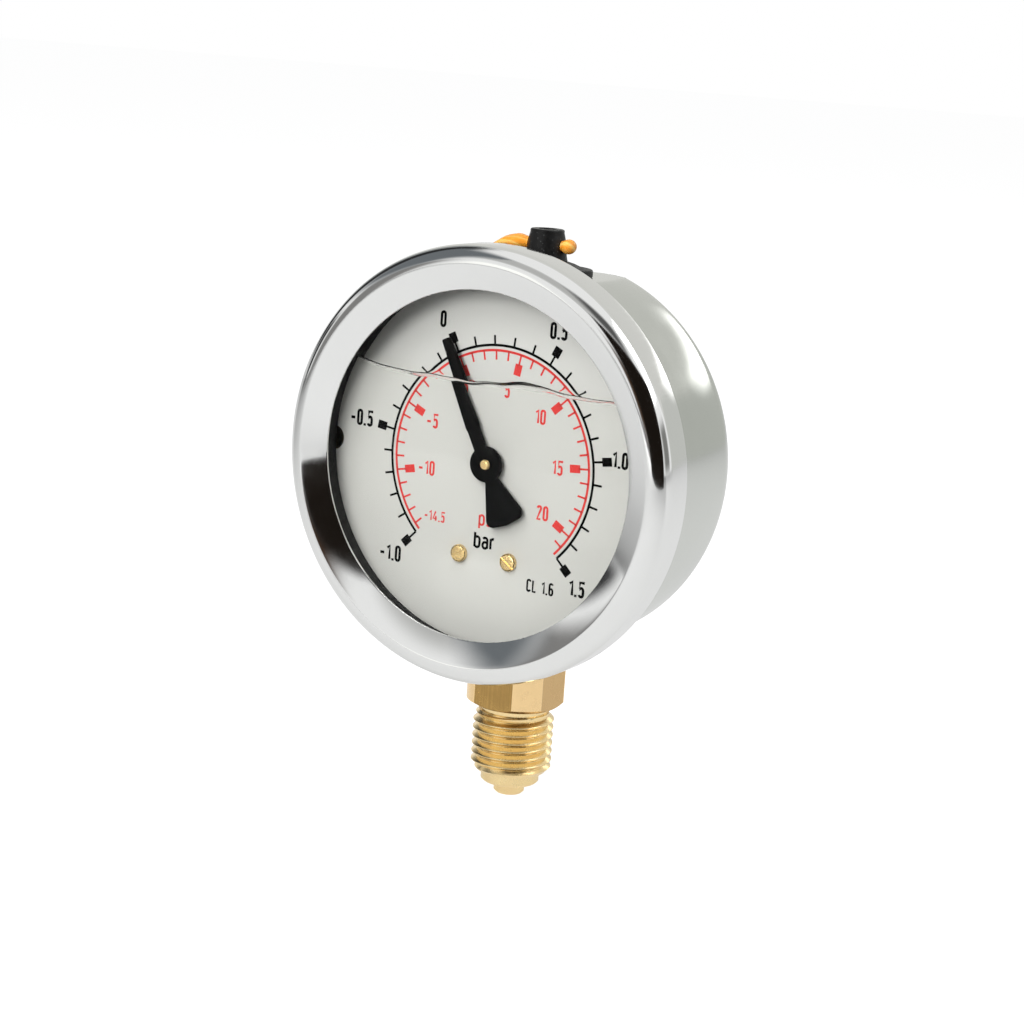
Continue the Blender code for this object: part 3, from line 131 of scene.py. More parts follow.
class Datum:
    """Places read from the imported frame, in millimetres."""

    def __init__(self) -> None:
        """Read the height of the dial axis from the window."""
        low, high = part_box("window")
        self.centre_height = (low.z + high.z) / 2 / MM

    def front(self, node: str) -> float:
        """Distance of a node's front from the stem's axis, out of the dial."""
        return -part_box(node)[0].y / MM

    def back(self, node: str) -> float:
        """Distance of a node's back from the stem's axis, out of the dial."""
        return -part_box(node)[1].y / MM

    def radius(self, node: str) -> float:
        """Half the width of a node."""
        low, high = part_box(node)
        return (high.x - low.x) / 2 / MM

    def top(self, node: str) -> float:
        """Height of a node's top above the sealing face."""
        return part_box(node)[1].z / MM

    def bottom(self, node: str) -> float:
        """Height of a node's bottom above the sealing face."""
        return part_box(node)[0].z / MM

    def middle(self, node: str) -> Point:
        """Middle of a node, to the right of the dial axis and above it.

        Args:
            node: Name of the node.

        Returns:
            The two distances.
        """
        low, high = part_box(node)
        middle = (low + high) / 2 / MM
        return middle.x, middle.z - self.centre_height

    def matrix(self, place: Place) -> Matrix:
        """Placement of a working frame in the row frame.

        Args:
            place: The working frame.

        Returns:
            Matrix from millimetres in that frame to metres in the row frame.
        """
        scale = Matrix.Scale(MM, 4)
        if place is Place.ROW:
            return scale
        lift = Matrix.Translation((0.0, 0.0, self.centre_height * MM))
        if place is Place.VENT:
            return lift @ scale
        return lift @ Matrix.Rotation(math.pi / 2, 4, "X") @ scale


def arc(centre: Point, radius: float, start: float, end: float, steps: int) -> list[Point]:
    """Points of a circular arc between two angles in degrees, both ends included."""
    return bow(centre, (radius, radius), start, end, steps)


def circle(centre: Point, radius: float, steps: int) -> list[Point]:
    """Points of a full circle."""
    return arc(centre, radius, 0, 360, steps)[:-1]


def bow(centre: Point, radii: Point, start: float, end: float, steps: int = 10) -> list[Point]:
    """Points of an elliptical arc, both ends included.

    Args:
        centre: Centre of the ellipse.
        radii: Half width and half height.
        start: First angle, in degrees.
        end: Last angle, in degrees.
        steps: Number of chords.

    Returns:
        The points in order.
    """
    angles = [math.radians(start + (end - start) * index / steps) for index in range(steps + 1)]
    return [(centre[0] + radii[0] * math.cos(a), centre[1] + radii[1] * math.sin(a)) for a in angles]


def made_verts(result: dict) -> list[bmesh.types.BMVert]:
    """Vertices among what a bmesh operator made."""
    return [item for item in result["geom"] if isinstance(item, bmesh.types.BMVert)]


def lathe(profile: Sequence[Point], steps: int, closed: bool = False) -> BMesh:
    """Turn a profile about the local Z axis.

    Args:
        profile: Radius and height of each point.
        steps: Facets in a full turn.
        closed: True for a ring, whose last point joins the first.

    Returns:
        The turned mesh, facing outwards.
    """
    bm = bmesh.new()
    verts = [bm.verts.new((radius, 0.0, height)) for radius, height in profile]
    edges = [bm.edges.new(pair) for pair in zip(verts, verts[1:])]
    if closed:
        edges.append(bm.edges.new((verts[-1], verts[0])))
    bmesh.ops.spin(bm, geom=verts + edges, cent=(0, 0, 0), axis=(0, 0, 1), angle=math.tau, steps=steps,
                   use_merge=True, use_duplicate=False)
    tidy(bm)
    return bm


def tidy(bm: BMesh) -> None:
    """Merge doubles, drop slivers and point every face outwards.

    Args:
        bm: The mesh.
    """
    bmesh.ops.remove_doubles(bm, verts=bm.verts, dist=MERGE_DISTANCE)
    bmesh.ops.dissolve_degenerate(bm, dist=MERGE_DISTANCE, edges=bm.edges)
    bmesh.ops.recalc_face_normals(bm, faces=bm.faces)


def slab(outlines: Sequence[Sequence[Point]], low: float, high: float) -> BMesh:
    """Flat piece between two heights.

    Args:
        outlines: The edge of the piece, then the edges of its holes.
        low: Height of the lower face.
        high: Height of the upper face.

    Returns:
        The closed mesh.
    """
    bm = bmesh.new()
    edges = []
    for outline in outlines:
        verts = [bm.verts.new((x, y, low)) for x, y in outline]
        edges += [bm.edges.new(pair) for pair in zip(verts, verts[1:] + verts[:1])]
    bmesh.ops.triangle_fill(bm, use_beauty=True, use_dissolve=False, edges=edges)
    raised = bmesh.ops.extrude_face_region(bm, geom=list(bm.faces))
    bmesh.ops.translate(bm, verts=made_verts(raised), vec=(0.0, 0.0, high - low))
    bmesh.ops.recalc_face_normals(bm, faces=bm.faces)
    return bm


def loft(stations: Sequence[Matrix], segments: int) -> BMesh:
    """Skin over a row of unit circles.

    Args:
        stations: Placement of each circle.
        segments: Points in each circle.

    Returns:
        The closed mesh, capped at both ends.
    """
    bm = bmesh.new()
    loops = []
    for station in stations:
        made = bmesh.ops.create_circle(bm, cap_ends=False, radius=1.0, segments=segments, matrix=station)
        loops.append(list({edge for vert in made["verts"] for edge in vert.link_edges}))
    for first, second in zip(loops, loops[1:]):
        bmesh.ops.bridge_loops(bm, edges=first + second)
    for end in (loops[0], loops[-1]):
        bmesh.ops.contextual_create(bm, geom=end)
    bmesh.ops.recalc_face_normals(bm, faces=bm.faces)
    return bm


def draw_in(vert: bmesh.types.BMVert, radius: float) -> None:
    """Move a vertex to a radius about the upright axis.

    Args:
        vert: The vertex.
        radius: Its new distance from the axis.
    """
    share = radius / math.hypot(vert.co.x, vert.co.y)
    vert.co.x *= share
    vert.co.y *= share


def soften(bm: BMesh, width: float) -> None:
    """Round the sharp edges of a mesh to a width.

    Args:
        bm: The mesh.
        width: Width of the rounding.
    """
    edges = [edge for edge in bm.edges if edge.is_manifold and edge.calc_face_angle(0.0) > SOFT_ANGLE]
    bmesh.ops.bevel(bm, geom=edges, offset=width, offset_type="OFFSET", affect="EDGES", profile=0.5,
                    segments=SOFT_SEGMENTS, material=-1, clamp_overlap=True)


def box(low: Sequence[float], high: Sequence[float], turn: Matrix | None = None) -> BMesh:
    """Block between two corners.

    Args:
        low: Lowest corner.
        high: Highest corner.
        turn: Placement of the finished block, if it isn't drawn in place.

    Returns:
        The mesh.
    """
    bm = bmesh.new()
    size = [top - bottom for bottom, top in zip(low, high)]
    middle = [(top + bottom) / 2 for bottom, top in zip(low, high)]
    shape = Matrix.Translation(middle) @ Matrix.Diagonal((*size, 1.0))
    bmesh.ops.create_cube(bm, size=1.0, matrix=turn @ shape if turn else shape)
    return bm


def as_mesh(bm: BMesh, name: str) -> bpy.types.Mesh:
    """Mesh data made from a working mesh, which is used up.

    Args:
        bm: The working mesh.
        name: Name of the data.

    Returns:
        The mesh data.
    """
    mesh = bpy.data.meshes.new(name)
    bm.to_mesh(mesh)
    bm.free()
    return mesh


def placed(name: str, data: bpy.types.ID) -> bpy.types.Object:
    """Object that shows some data, linked into the scene.

    Args:
        name: Name of the object.
        data: What it shows.

    Returns:
        The object.
    """
    obj = bpy.data.objects.new(name, data)
    bpy.context.scene.collection.objects.link(obj)
    return obj


def joined(parts: Iterable[BMesh]) -> BMesh:
    """Put several meshes, which are used up, into one.

    Args:
        parts: The meshes.

    Returns:
        One mesh that holds them all.
    """
    whole = bmesh.new()
    for part in parts:
        mesh = as_mesh(part, "joining")
        whole.from_mesh(mesh)
        bpy.data.meshes.remove(mesh)
    return whole


def carve(bm: BMesh, tools: Sequence[BMesh]) -> BMesh:
    """Cut tools out of a mesh that shares their frame.

    Args:
        bm: The mesh to cut, which is used up.
        tools: The cutting meshes, which are used up.

    Returns:
        The cut mesh.
    """
    scratch = []
    for index, shape in enumerate([bm, *tools]):
        name = f"carving_{index}"
        scratch.append(placed(name, as_mesh(shape, name)))
    for tool in scratch[1:]:
        cut = scratch[0].modifiers.new(tool.name, "BOOLEAN")
        cut.operation = "DIFFERENCE"
        cut.solver = "EXACT"
        cut.object = tool
    graph = bpy.context.evaluated_depsgraph_get()
    result = bmesh.new()
    result.from_object(scratch[0], graph)
    for obj in scratch:
        mesh = obj.data
        bpy.data.objects.remove(obj, do_unlink=True)
        bpy.data.meshes.remove(mesh)
    return result


class NodePen:
    """Places and links nodes in a material or a node group."""

    def __init__(self, tree: bpy.types.NodeTree) -> None:
        """Keep the tree that nodes go into."""
        self.tree = tree

    def feed(self, node: Node, inputs: dict) -> None:
        """Set each input of a node to a value, or link it to a socket.

        Args:
            node: The node.
            inputs: Value or source socket of each input.
        """
        for name, value in inputs.items():
            if isinstance(value, Socket):
                self.tree.links.new(value, node.inputs[name])
            else:
                node.inputs[name].default_value = value

    def node(self, kind: str, inputs: dict | None = None, **settings: object) -> Node:
        """Add a node.

        Args:
            kind: Blender's name of the node type.
            inputs: Value or source socket of each input.
            settings: Properties of the node.

        Returns:
            The node.
        """
        made = self.tree.nodes.new(kind)
        for name, value in settings.items():
            setattr(made, name, value)
        self.feed(made, inputs or {})
        return made

    def math(self, operation: str, first: object, second: object = 0.0) -> Socket:
        """Result of a Math node on two values or sockets."""
        return self.node("ShaderNodeMath", {0: first, 1: second}, operation=operation).outputs[0]

    def mix(self, factor: Socket, first: object, second: object) -> Socket:
        """Colour between two colours or sockets, by the share of the second."""
        ends = [end if isinstance(end, Socket) else (*end, 1.0) for end in (first, second)]
        return self.node("ShaderNodeMix", {0: factor, 6: ends[0], 7: ends[1]}, data_type="RGBA").outputs[2]

    def span(self, value: Socket, source: Point, target: Sequence = (0.0, 1.0)) -> Socket:
        """Value mapped smoothly from one range to another.

        Args:
            value: The socket that is mapped.
            source: Range it comes from.
            target: Values or sockets of the range it goes to.

        Returns:
            The mapped value.
        """
        ends = {"Value": value, "From Min": source[0], "From Max": source[1]}
        ends |= {"To Min": target[0], "To Max": target[1]}
        return self.node("ShaderNodeMapRange", ends, interpolation_type="SMOOTHSTEP").outputs["Result"]

    def bump(self, height: Socket, strength: float, depth: float) -> Socket:
        """Normal of a surface that is raised by a height, whose full depth is in millimetres."""
        inputs = {"Height": height, "Strength": strength, "Distance": depth * MM}
        return self.node("ShaderNodeBump", inputs).outputs["Normal"]


class Effect:
    """Shader node group that several finishes share."""

    name: ClassVar[str]
    takes: ClassVar[tuple[str, ...]]
    gives: ClassVar[tuple[str, ...]]

    def tree(self) -> bpy.types.NodeTree:
        """Node group of the effect, made on first use.

        Returns:
            The node group.
        """
        found = bpy.data.node_groups.get(self.name)
        if found:
            return found
        tree = bpy.data.node_groups.new(self.name, "ShaderNodeTree")
        for name in self.takes:
            kind = "NodeSocketVector" if name == "Vector" else "NodeSocketFloat"
            tree.interface.new_socket(name, in_out="INPUT", socket_type=kind)
        for name in self.gives:
            tree.interface.new_socket(name, in_out="OUTPUT", socket_type="NodeSocketFloat")
        pen = NodePen(tree)
        pen.node("NodeGroupOutput", self.wire(pen, pen.node("NodeGroupInput").outputs))
        return tree

    def wire(self, pen: NodePen, source: Outputs) -> dict[str, Socket]:
        """Nodes of the effect, from its inputs to its named results."""
        raise NotImplementedError

    def use(self, pen: NodePen, **inputs: object) -> Outputs:
        """Place the effect in a material, and give its results."""
        return pen.node("ShaderNodeGroup", node_tree=self.tree(), inputs=inputs).outputs


class DialPolar(Effect):
    """Radius, turn and depth of a point about the dial axis."""

    name = "dial_polar"
    takes = ("Vector", "Centre")
    gives = ("Radius", "Turn", "Depth")

    def wire(self, pen: NodePen, source: Outputs) -> dict[str, Socket]:
        """Polar coordinates from the row frame's X and Z.

        Args:
            pen: Pen of the group.
            source: Inputs of the group.

        Returns:
            Results of the group.
        """
        parts = pen.node("ShaderNodeSeparateXYZ", {"Vector": source["Vector"]}).outputs
        rise = pen.math("SUBTRACT", parts["Z"], source["Centre"])
        squares = [pen.math("MULTIPLY", part, part) for part in (rise, parts["X"])]
        turn = pen.math("ARCTAN2", parts["X"], rise)
        return {"Radius": pen.math("SQRT", pen.math("ADD", *squares)), "Turn": turn, "Depth": parts["Y"]}


class Mottle(Effect):
    """Cloudy variation between two values."""

    name = "mottle"
    takes = ("Vector", "Scale", "Low", "High")
    gives = ("Value", "Height")

    def wire(self, pen: NodePen, source: Outputs) -> dict[str, Socket]:
        """Layered noise, spread over the range.

        Args:
            pen: Pen of the group.
            source: Inputs of the group.

        Returns:
            Results of the group.
        """
        inputs = {"Vector": source["Vector"], "Scale": source["Scale"], "Detail": 6.0, "Roughness": 0.62}
        noise = pen.node("ShaderNodeTexNoise", inputs).outputs[0]
        return {"Value": pen.span(noise, (0.28, 0.72), (source["Low"], source["High"])), "Height": noise}


class Specks(Effect):
    """Sparse round specks, as of dust or coarse moulding."""

    name = "specks"
    takes = ("Vector", "Scale", "Size", "Rarity")
    gives = ("Mask",)

    def wire(self, pen: NodePen, source: Outputs) -> dict[str, Socket]:
        """Cells whose middle is near and whose own number is high.

        Args:
            pen: Pen of the group.
            source: Inputs of the group.

        Returns:
            Results of the group.
        """
        inputs = {"Vector": source["Vector"], "Scale": source["Scale"]}
        cells = pen.node("ShaderNodeTexVoronoi", inputs).outputs
        near = pen.math("LESS_THAN", cells["Distance"], source["Size"])
        number = pen.node("ShaderNodeSeparateColor", {"Color": cells["Color"]}).outputs[0]
        return {"Mask": pen.math("MULTIPLY", near, pen.math("GREATER_THAN", number, source["Rarity"]))}


class Hairlines(Effect):
    """Fine lines that run along one coordinate and vary across another."""

    name = "hairlines"
    takes = ("Along", "Across", "Length", "Fineness")
    gives = ("Mask", "Height")

    def wire(self, pen: NodePen, source: Outputs) -> dict[str, Socket]:
        """Stretched noise and the thin crests in it.

        Args:
            pen: Pen of the group.
            source: Inputs of the group.

        Returns:
            Results of the group.
        """
        along = pen.math("MULTIPLY", source["Along"], source["Length"])
        across = pen.math("MULTIPLY", source["Across"], source["Fineness"])
        place = pen.node("ShaderNodeCombineXYZ", {"X": along, "Y": across}).outputs[0]
        noise = pen.node("ShaderNodeTexNoise", {"Vector": place, "Scale": 1.0, "Detail": 3.0}).outputs[0]
        return {"Mask": pen.span(noise, (0.60, 0.70)), "Height": noise}


class LatheLines(Effect):
    """Even tool marks at a pitch along one coordinate."""

    name = "lathe_lines"
    takes = ("Distance", "Pitch")
    gives = ("Height",)

    def wire(self, pen: NodePen, source: Outputs) -> dict[str, Socket]:
        """Sine wave of the distance.

        Args:
            pen: Pen of the group.
            source: Inputs of the group.

        Returns:
            Results of the group.
        """
        turns = pen.math("DIVIDE", source["Distance"], source["Pitch"])
        wave = pen.math("SINE", pen.math("MULTIPLY", turns, math.tau))
        return {"Height": pen.span(wave, (-1.0, 1.0))}


@dataclass(frozen=True)
class Finish:
    """Surface with a Principled shader, whose detail comes from its subclass."""

    name: str
    colour: Colour
    roughness: float
    metallic: float = 0.0

    def material(self, datum: Datum) -> bpy.types.Material:
        """Material of the finish, made on first use.

        Args:
            datum: Places of the gauge.

        Returns:
            The material.
        """
        found = bpy.data.materials.get(self.name)
        if found:
            return found
        material = bpy.data.materials.new(self.name)
        material.use_nodes = True
        pen = NodePen(material.node_tree)
        shader = material.node_tree.nodes["Principled BSDF"]
        place = pen.node("ShaderNodeTexCoord").outputs["Object"]
        inputs = {"Base Color": (*self.colour, 1.0), "Roughness": self.roughness, "Metallic": self.metallic}
        pen.feed(shader, inputs | self.detail(pen, place, datum))
        self.surface(pen, shader)
        return material

    def detail(self, pen: NodePen, place: Socket, datum: Datum) -> dict:
        """Inputs of the shader that vary over the surface."""
        raise NotImplementedError

    def surface(self, pen: NodePen, shader: Node) -> None:
        """Change how the shader reaches the output, which most finishes don't."""

    def shade(self, share: float) -> Colour:
        """Colour scaled by a share, up to white."""
        return tuple(min(1.0, channel * share) for channel in self.colour)

    def cloudy(self, pen: NodePen, place: Socket, scale: float, spread: float,
               tone: float) -> tuple[dict, Socket]:
        """Uneven gloss and colour.

        Args:
            pen: The material's pen.
            place: Place on the surface.
            scale: Fineness of the clouds.
            spread: Change of roughness either way.
            tone: Change of the colour's strength either way.

        Returns:
            Inputs of the shader, and the noise behind them.
        """
        cloud = Mottle().use(pen, Vector=place, Scale=scale, Low=self.roughness - spread,
                             High=self.roughness + spread)
        colour = pen.mix(cloud["Height"], self.shade(1.0 - tone), self.shade(1.0 + tone))
        return {"Base Color": colour, "Roughness": cloud["Value"]}, cloud["Height"]


@dataclass(frozen=True)
class SheetSteel(Finish):
    """Satin steel sheet: soft clouds and fine lines along the draw."""

    def detail(self, pen: NodePen, place: Socket, datum: Datum) -> dict:
        """Cloudy gloss with fine lines in the normal.

        Args:
            pen: The material's pen.
            place: Place on the surface, in the row frame.
            datum: Places read from the frame.

        Returns:
            Inputs of the shader.
        """
        inputs, _ = self.cloudy(pen, place, 160.0, 0.03, 0.03)
        polar = DialPolar().use(pen, Vector=place, Centre=datum.centre_height * MM)
        lines = Hairlines().use(pen, Along=polar["Depth"], Across=polar["Turn"], Length=160.0, Fineness=260.0)
        return inputs | {"Normal": pen.bump(lines["Height"], 0.06, 0.01)}


@dataclass(frozen=True)
class MirrorSteel(Finish):
    """Polished steel with faint polishing lines round the ring and short scuffs."""

    def detail(self, pen: NodePen, place: Socket, datum: Datum) -> dict:
        """Gloss from haze, polishing lines and scuffs.

        Args:
            pen: The material's pen.
            place: Place on the surface, in the row frame.
            datum: Places read from the frame.

        Returns:
            Inputs of the shader.
        """
        inputs, _ = self.cloudy(pen, place, 260.0, 0.02, 0.02)
        polar = DialPolar().use(pen, Vector=place, Centre=datum.centre_height * MM)
        rings = Hairlines().use(pen, Along=polar["Turn"], Across=polar["Radius"], Length=14.0,
                                Fineness=9000.0)
        slant = pen.math("ADD", polar["Turn"], pen.math("MULTIPLY", polar["Radius"], 90.0))
        scuffs = Hairlines().use(pen, Along=polar["Radius"], Across=slant, Length=900.0, Fineness=330.0)
        parts = [pen.math("MULTIPLY", *part) for part in ((scuffs["Mask"], 0.09), (rings["Mask"], 0.04))]
        marks = pen.math("ADD", *parts)
        normal = pen.bump(pen.math("ADD", rings["Height"], scuffs["Height"]), 0.05, 0.004)
        return inputs | {"Roughness": pen.math("ADD", inputs["Roughness"], marks), "Normal": normal}


@dataclass(frozen=True)
class TurnedBrass(Finish):
    """Brass from the lathe: tool marks along the stem's axis and a warm, uneven tone."""

    pitch: float = 0.16

    def detail(self, pen: NodePen, place: Socket, datum: Datum) -> dict:
        """Tool marks in the normal, cloudy tone and gloss.

        Args:
            pen: The material's pen.
            place: Place on the surface, in the row frame.
            datum: Places read from the frame.

        Returns:
            Inputs of the shader.
        """
        inputs, _ = self.cloudy(pen, place, 420.0, 0.05, 0.12)
        height = pen.node("ShaderNodeSeparateXYZ", {"Vector": place}).outputs["Z"]
        marks = LatheLines().use(pen, Distance=height, Pitch=self.pitch * MM)
        return inputs | {"Normal": pen.bump(marks["Height"], 0.22, 0.012)}


@dataclass(frozen=True)
class GrainedMetal(Finish):
    """Milled, drawn or stamped metal with lines along one direction."""

    along: str = "Z"
    fineness: float = 2600.0
    strength: float = 0.25

    def detail(self, pen: NodePen, place: Socket, datum: Datum) -> dict:
        """Lines in tone and normal over cloudy gloss.

        Args:
            pen: The material's pen.
            place: Place on the surface, in the row frame.
            datum: Places read from the frame.

        Returns:
            Inputs of the shader.
        """
        inputs, cloud = self.cloudy(pen, place, 320.0, 0.06, 0.10)
        parts = pen.node("ShaderNodeSeparateXYZ", {"Vector": place}).outputs
        others = [parts[axis] for axis in "XYZ" if axis != self.along]
        across = pen.math("ADD", others[0], pen.math("MULTIPLY", others[1], 1.7))
        lines = Hairlines().use(pen, Along=parts[self.along], Across=across, Length=70.0,
                                Fineness=self.fineness)
        streak = pen.span(pen.math("MULTIPLY", lines["Height"], cloud), (0.12, 0.40))
        tone = pen.mix(streak, self.shade(0.80), self.shade(1.08))
        return inputs | {"Base Color": tone, "Normal": pen.bump(lines["Height"], self.strength, 0.02)}


@dataclass(frozen=True)
class MilledBrassPaintedShade(GrainedMetal):
    """Flats with painted shade, darker in front than at the sides, between corners in the bar's plain brass
    tone.
    """

    corner_radius: float = 7.82
    # Plain brass of the turned corners. The side flats' colour is painted shade, lighter than the front
    # flats' base colour, which is painted shade as well.
    corner: Colour = (0.92, 0.66, 0.34)
    side: Colour = (0.62, 0.41, 0.18)

    def detail(self, pen: NodePen, place: Socket, datum: Datum) -> dict:
        """Milled lines, painted shade by the way each flat faces, and a smooth tone as far out as the
        corners.

        Args:
            pen: The material's pen.
            place: Place on the surface, in the row frame.
            datum: Places read from the frame.

        Returns:
            Inputs of the shader.
        """
        inputs = super().detail(pen, place, datum)
        plan = {0: place, 1: (1.0, 1.0, 0.0)}
        flat = pen.node("ShaderNodeVectorMath", plan, operation="MULTIPLY").outputs[0]
        reach = pen.node("ShaderNodeVectorMath", {0: flat}, operation="LENGTH").outputs["Value"]
        skin = pen.math("GREATER_THAN", reach, self.corner_radius * MM)
        normal = pen.node("ShaderNodeTexCoord").outputs["Normal"]
        across = pen.node("ShaderNodeSeparateXYZ", {"Vector": normal}).outputs["X"]
        # Painted shade: flats facing the front keep the darker base colour, and flats facing the sides take
        # the lighter side colour.
        side = pen.math("ABSOLUTE", across)
        milled = pen.mix(side, inputs["Base Color"], self.side)
        return inputs | {"Base Color": pen.mix(skin, milled, self.corner)}


@dataclass(frozen=True)
class MouldedRubber(Finish):
    """Black rubber or hard moulding with a coarse, slightly greyed skin."""

    speck_scale: float = 4200.0
    coarse: float = 0.5
    specular: float = 0.25

    def detail(self, pen: NodePen, place: Socket, datum: Datum) -> dict:
        """Coarse skin in the normal, pale specks and uneven gloss.

        Args:
            pen: The material's pen.
            place: Place on the surface, in the row frame.
            datum: Places read from the frame.

        Returns:
            Inputs of the shader.
        """
        inputs, skin = self.cloudy(pen, place, 1500.0, 0.12, 0.4)
        specks = Specks().use(pen, Vector=place, Scale=self.speck_scale, Size=0.30, Rarity=0.82)
        pale = pen.math("MULTIPLY", specks["Mask"], 0.16)
        tone = pen.mix(pale, inputs["Base Color"], (0.30, 0.31, 0.31))
        return inputs | {"Base Color": tone, "Normal": pen.bump(skin, self.coarse, 0.06),
                         "Specular IOR Level": self.specular}


@dataclass(frozen=True)
class Coating(Finish):
    """Lacquer, ink or paint: even colour with a fine skin, and dust where it shows."""

    clouds: float = 1800.0
    tone: float = 0.10
    dust: float = 0.0
    specular: float = 0.12

    def detail(self, pen: NodePen, place: Socket, datum: Datum) -> dict:
        """Uneven cover and gloss, a fine peel and pale dust.

        Args:
            pen: The material's pen.
            place: Place on the surface, in the row frame.
            datum: Places read from the frame.

        Returns:
            Inputs of the shader.
        """
        inputs, skin = self.cloudy(pen, place, self.clouds, 0.07, self.tone)
        specks = Specks().use(pen, Vector=place, Scale=900.0, Size=0.13, Rarity=0.72)
        dusty = pen.math("MULTIPLY", specks["Mask"], self.dust)
        tone = pen.mix(dusty, inputs["Base Color"], (0.36, 0.36, 0.34))
        return inputs | {"Base Color": tone, "Normal": pen.bump(skin, 0.10, 0.01),
                         "Specular IOR Level": self.specular}


@dataclass(frozen=True)
class LeverPlastic(Finish):
    """Orange moulded plastic with pale streaks along the lever."""

    streak: Colour = (1.0, 0.58, 0.14)

    def detail(self, pen: NodePen, place: Socket, datum: Datum) -> dict:
        """Streaks in tone and normal over light that sinks in.

        Args:
            pen: The material's pen.
            place: Place on the surface, in the row frame.
            datum: Places read from the frame.

        Returns:
            Inputs of the shader.
        """
        inputs, skin = self.cloudy(pen, place, 1600.0, 0.09, 0.05)
        parts = pen.node("ShaderNodeSeparateXYZ", {"Vector": place}).outputs
        across = pen.math("ADD", parts["Z"], pen.math("MULTIPLY", parts["Y"], 0.8))
        streaks = Hairlines().use(pen, Along=parts["X"], Across=across, Length=170.0, Fineness=1500.0)
        share = pen.span(streaks["Height"], (0.42, 0.72))
        tone = pen.mix(share, inputs["Base Color"], self.streak)
        height = pen.math("ADD", streaks["Height"], skin)
        return inputs | {"Base Color": tone, "Normal": pen.bump(height, 0.35, 0.05),
                         "Subsurface Weight": 0.15, "Subsurface Radius": (1.0, 0.45, 0.15),
                         "Subsurface Scale": 0.6 * MM}


@dataclass(frozen=True)
class ClearPane(Finish):
    """Clear plastic or liquid that lets lamps light what is behind it."""

    index: float = 1.49
    sheen: float = 0.01

    def detail(self, pen: NodePen, place: Socket, datum: Datum) -> dict:
        """Slightly uneven clearness.

        Args:
            pen: The material's pen.
            place: Place on the surface, in the row frame.
            datum: Places read from the frame.

        Returns:
            Inputs of the shader.
        """
        haze = Mottle().use(pen, Vector=place, Scale=70.0, Low=self.roughness, High=self.roughness + 0.01)
        return {"Roughness": haze["Value"], "Transmission Weight": 1.0, "IOR": self.index,
                "Specular Tint": (self.sheen, self.sheen, self.sheen, 1.0)}

    def surface(self, pen: NodePen, shader: Node) -> None:
        """Refraction for what the camera sees, and a clear way for shadow and diffuse rays.

        Args:
            pen: The material's pen.
            shader: The finished shader.
        """
        path = pen.node("ShaderNodeLightPath").outputs
        passing = pen.math("MAXIMUM", path["Is Shadow Ray"], path["Is Diffuse Ray"])
        clear = pen.node("ShaderNodeBsdfTransparent", {"Color": (*self.colour, 1.0)}).outputs[0]
        mixed = pen.node("ShaderNodeMixShader", {0: passing, 1: shader.outputs[0], 2: clear}).outputs[0]
        pen.feed(pen.tree.nodes["Material Output"], {"Surface": mixed})


class Finishes:
    """The gauge's own finishes."""

    CASE = SheetSteel("case_steel", (0.60, 0.615, 0.585), 0.13, 1.0)
    RING = MirrorSteel("ring_steel", (0.77, 0.775, 0.765), 0.075, 1.0)
    WINDOW = ClearPane("window_clear", (0.985, 0.99, 0.985), 0.0)
    LIQUID = ClearPane("glycerine", (0.99, 0.99, 0.98), 0.0, index=1.47)
    SEAL = MouldedRubber("seal_rubber", (0.008, 0.008, 0.009), 0.42, speck_scale=2600.0, coarse=0.25,
                         specular=0.08)
    PLUG = MouldedRubber("plug_rubber", (0.018, 0.019, 0.019), 0.50, coarse=0.45)
    TURRET = MouldedRubber("turret_moulding", (0.008, 0.008, 0.008), 0.38, speck_scale=3200.0, coarse=1.0)
    DIAL = Coating("dial_lacquer", (0.680, 0.672, 0.645), 0.42, clouds=60.0, tone=0.015)
    BLACK_INK = Coating("ink_black", (0.002, 0.002, 0.002), 0.45, specular=0.03)
    RED_INK = Coating("ink_red", (0.760, 0.060, 0.055), 0.45)
    POINTER = Coating("pointer_paint", (0.002, 0.002, 0.002), 0.45, dust=0.3, specular=0.03)
    STEM = TurnedBrass("stem_brass", (1.0, 0.73, 0.385), 0.25, 1.0)
    # Painted shade: brass darkened to stand for the dim reflections on the flats; the stem's block takes it
    # too.
    FLATS = MilledBrassPaintedShade("flats_brass", (0.46, 0.285, 0.095), 0.26, 1.0)
    MOVEMENT = GrainedMetal("movement_brass", (0.80, 0.58, 0.27), 0.26, 1.0, along="X", fineness=4200.0)
    TUBE = GrainedMetal("tube_bronze_drawn", (0.66, 0.42, 0.21), 0.28, 1.0, along="Y", fineness=3600.0)
    SPRING = GrainedMetal("spring_bronze_strip", (0.60, 0.40, 0.20), 0.24, 1.0, along="Y")
    SCREW = GrainedMetal("screw_steel_bright", (0.58, 0.58, 0.57), 0.24, 1.0, along="X", fineness=5200.0)
    LEVER = LeverPlastic("lever_plastic", (1.0, 0.36, 0.03), 0.40)


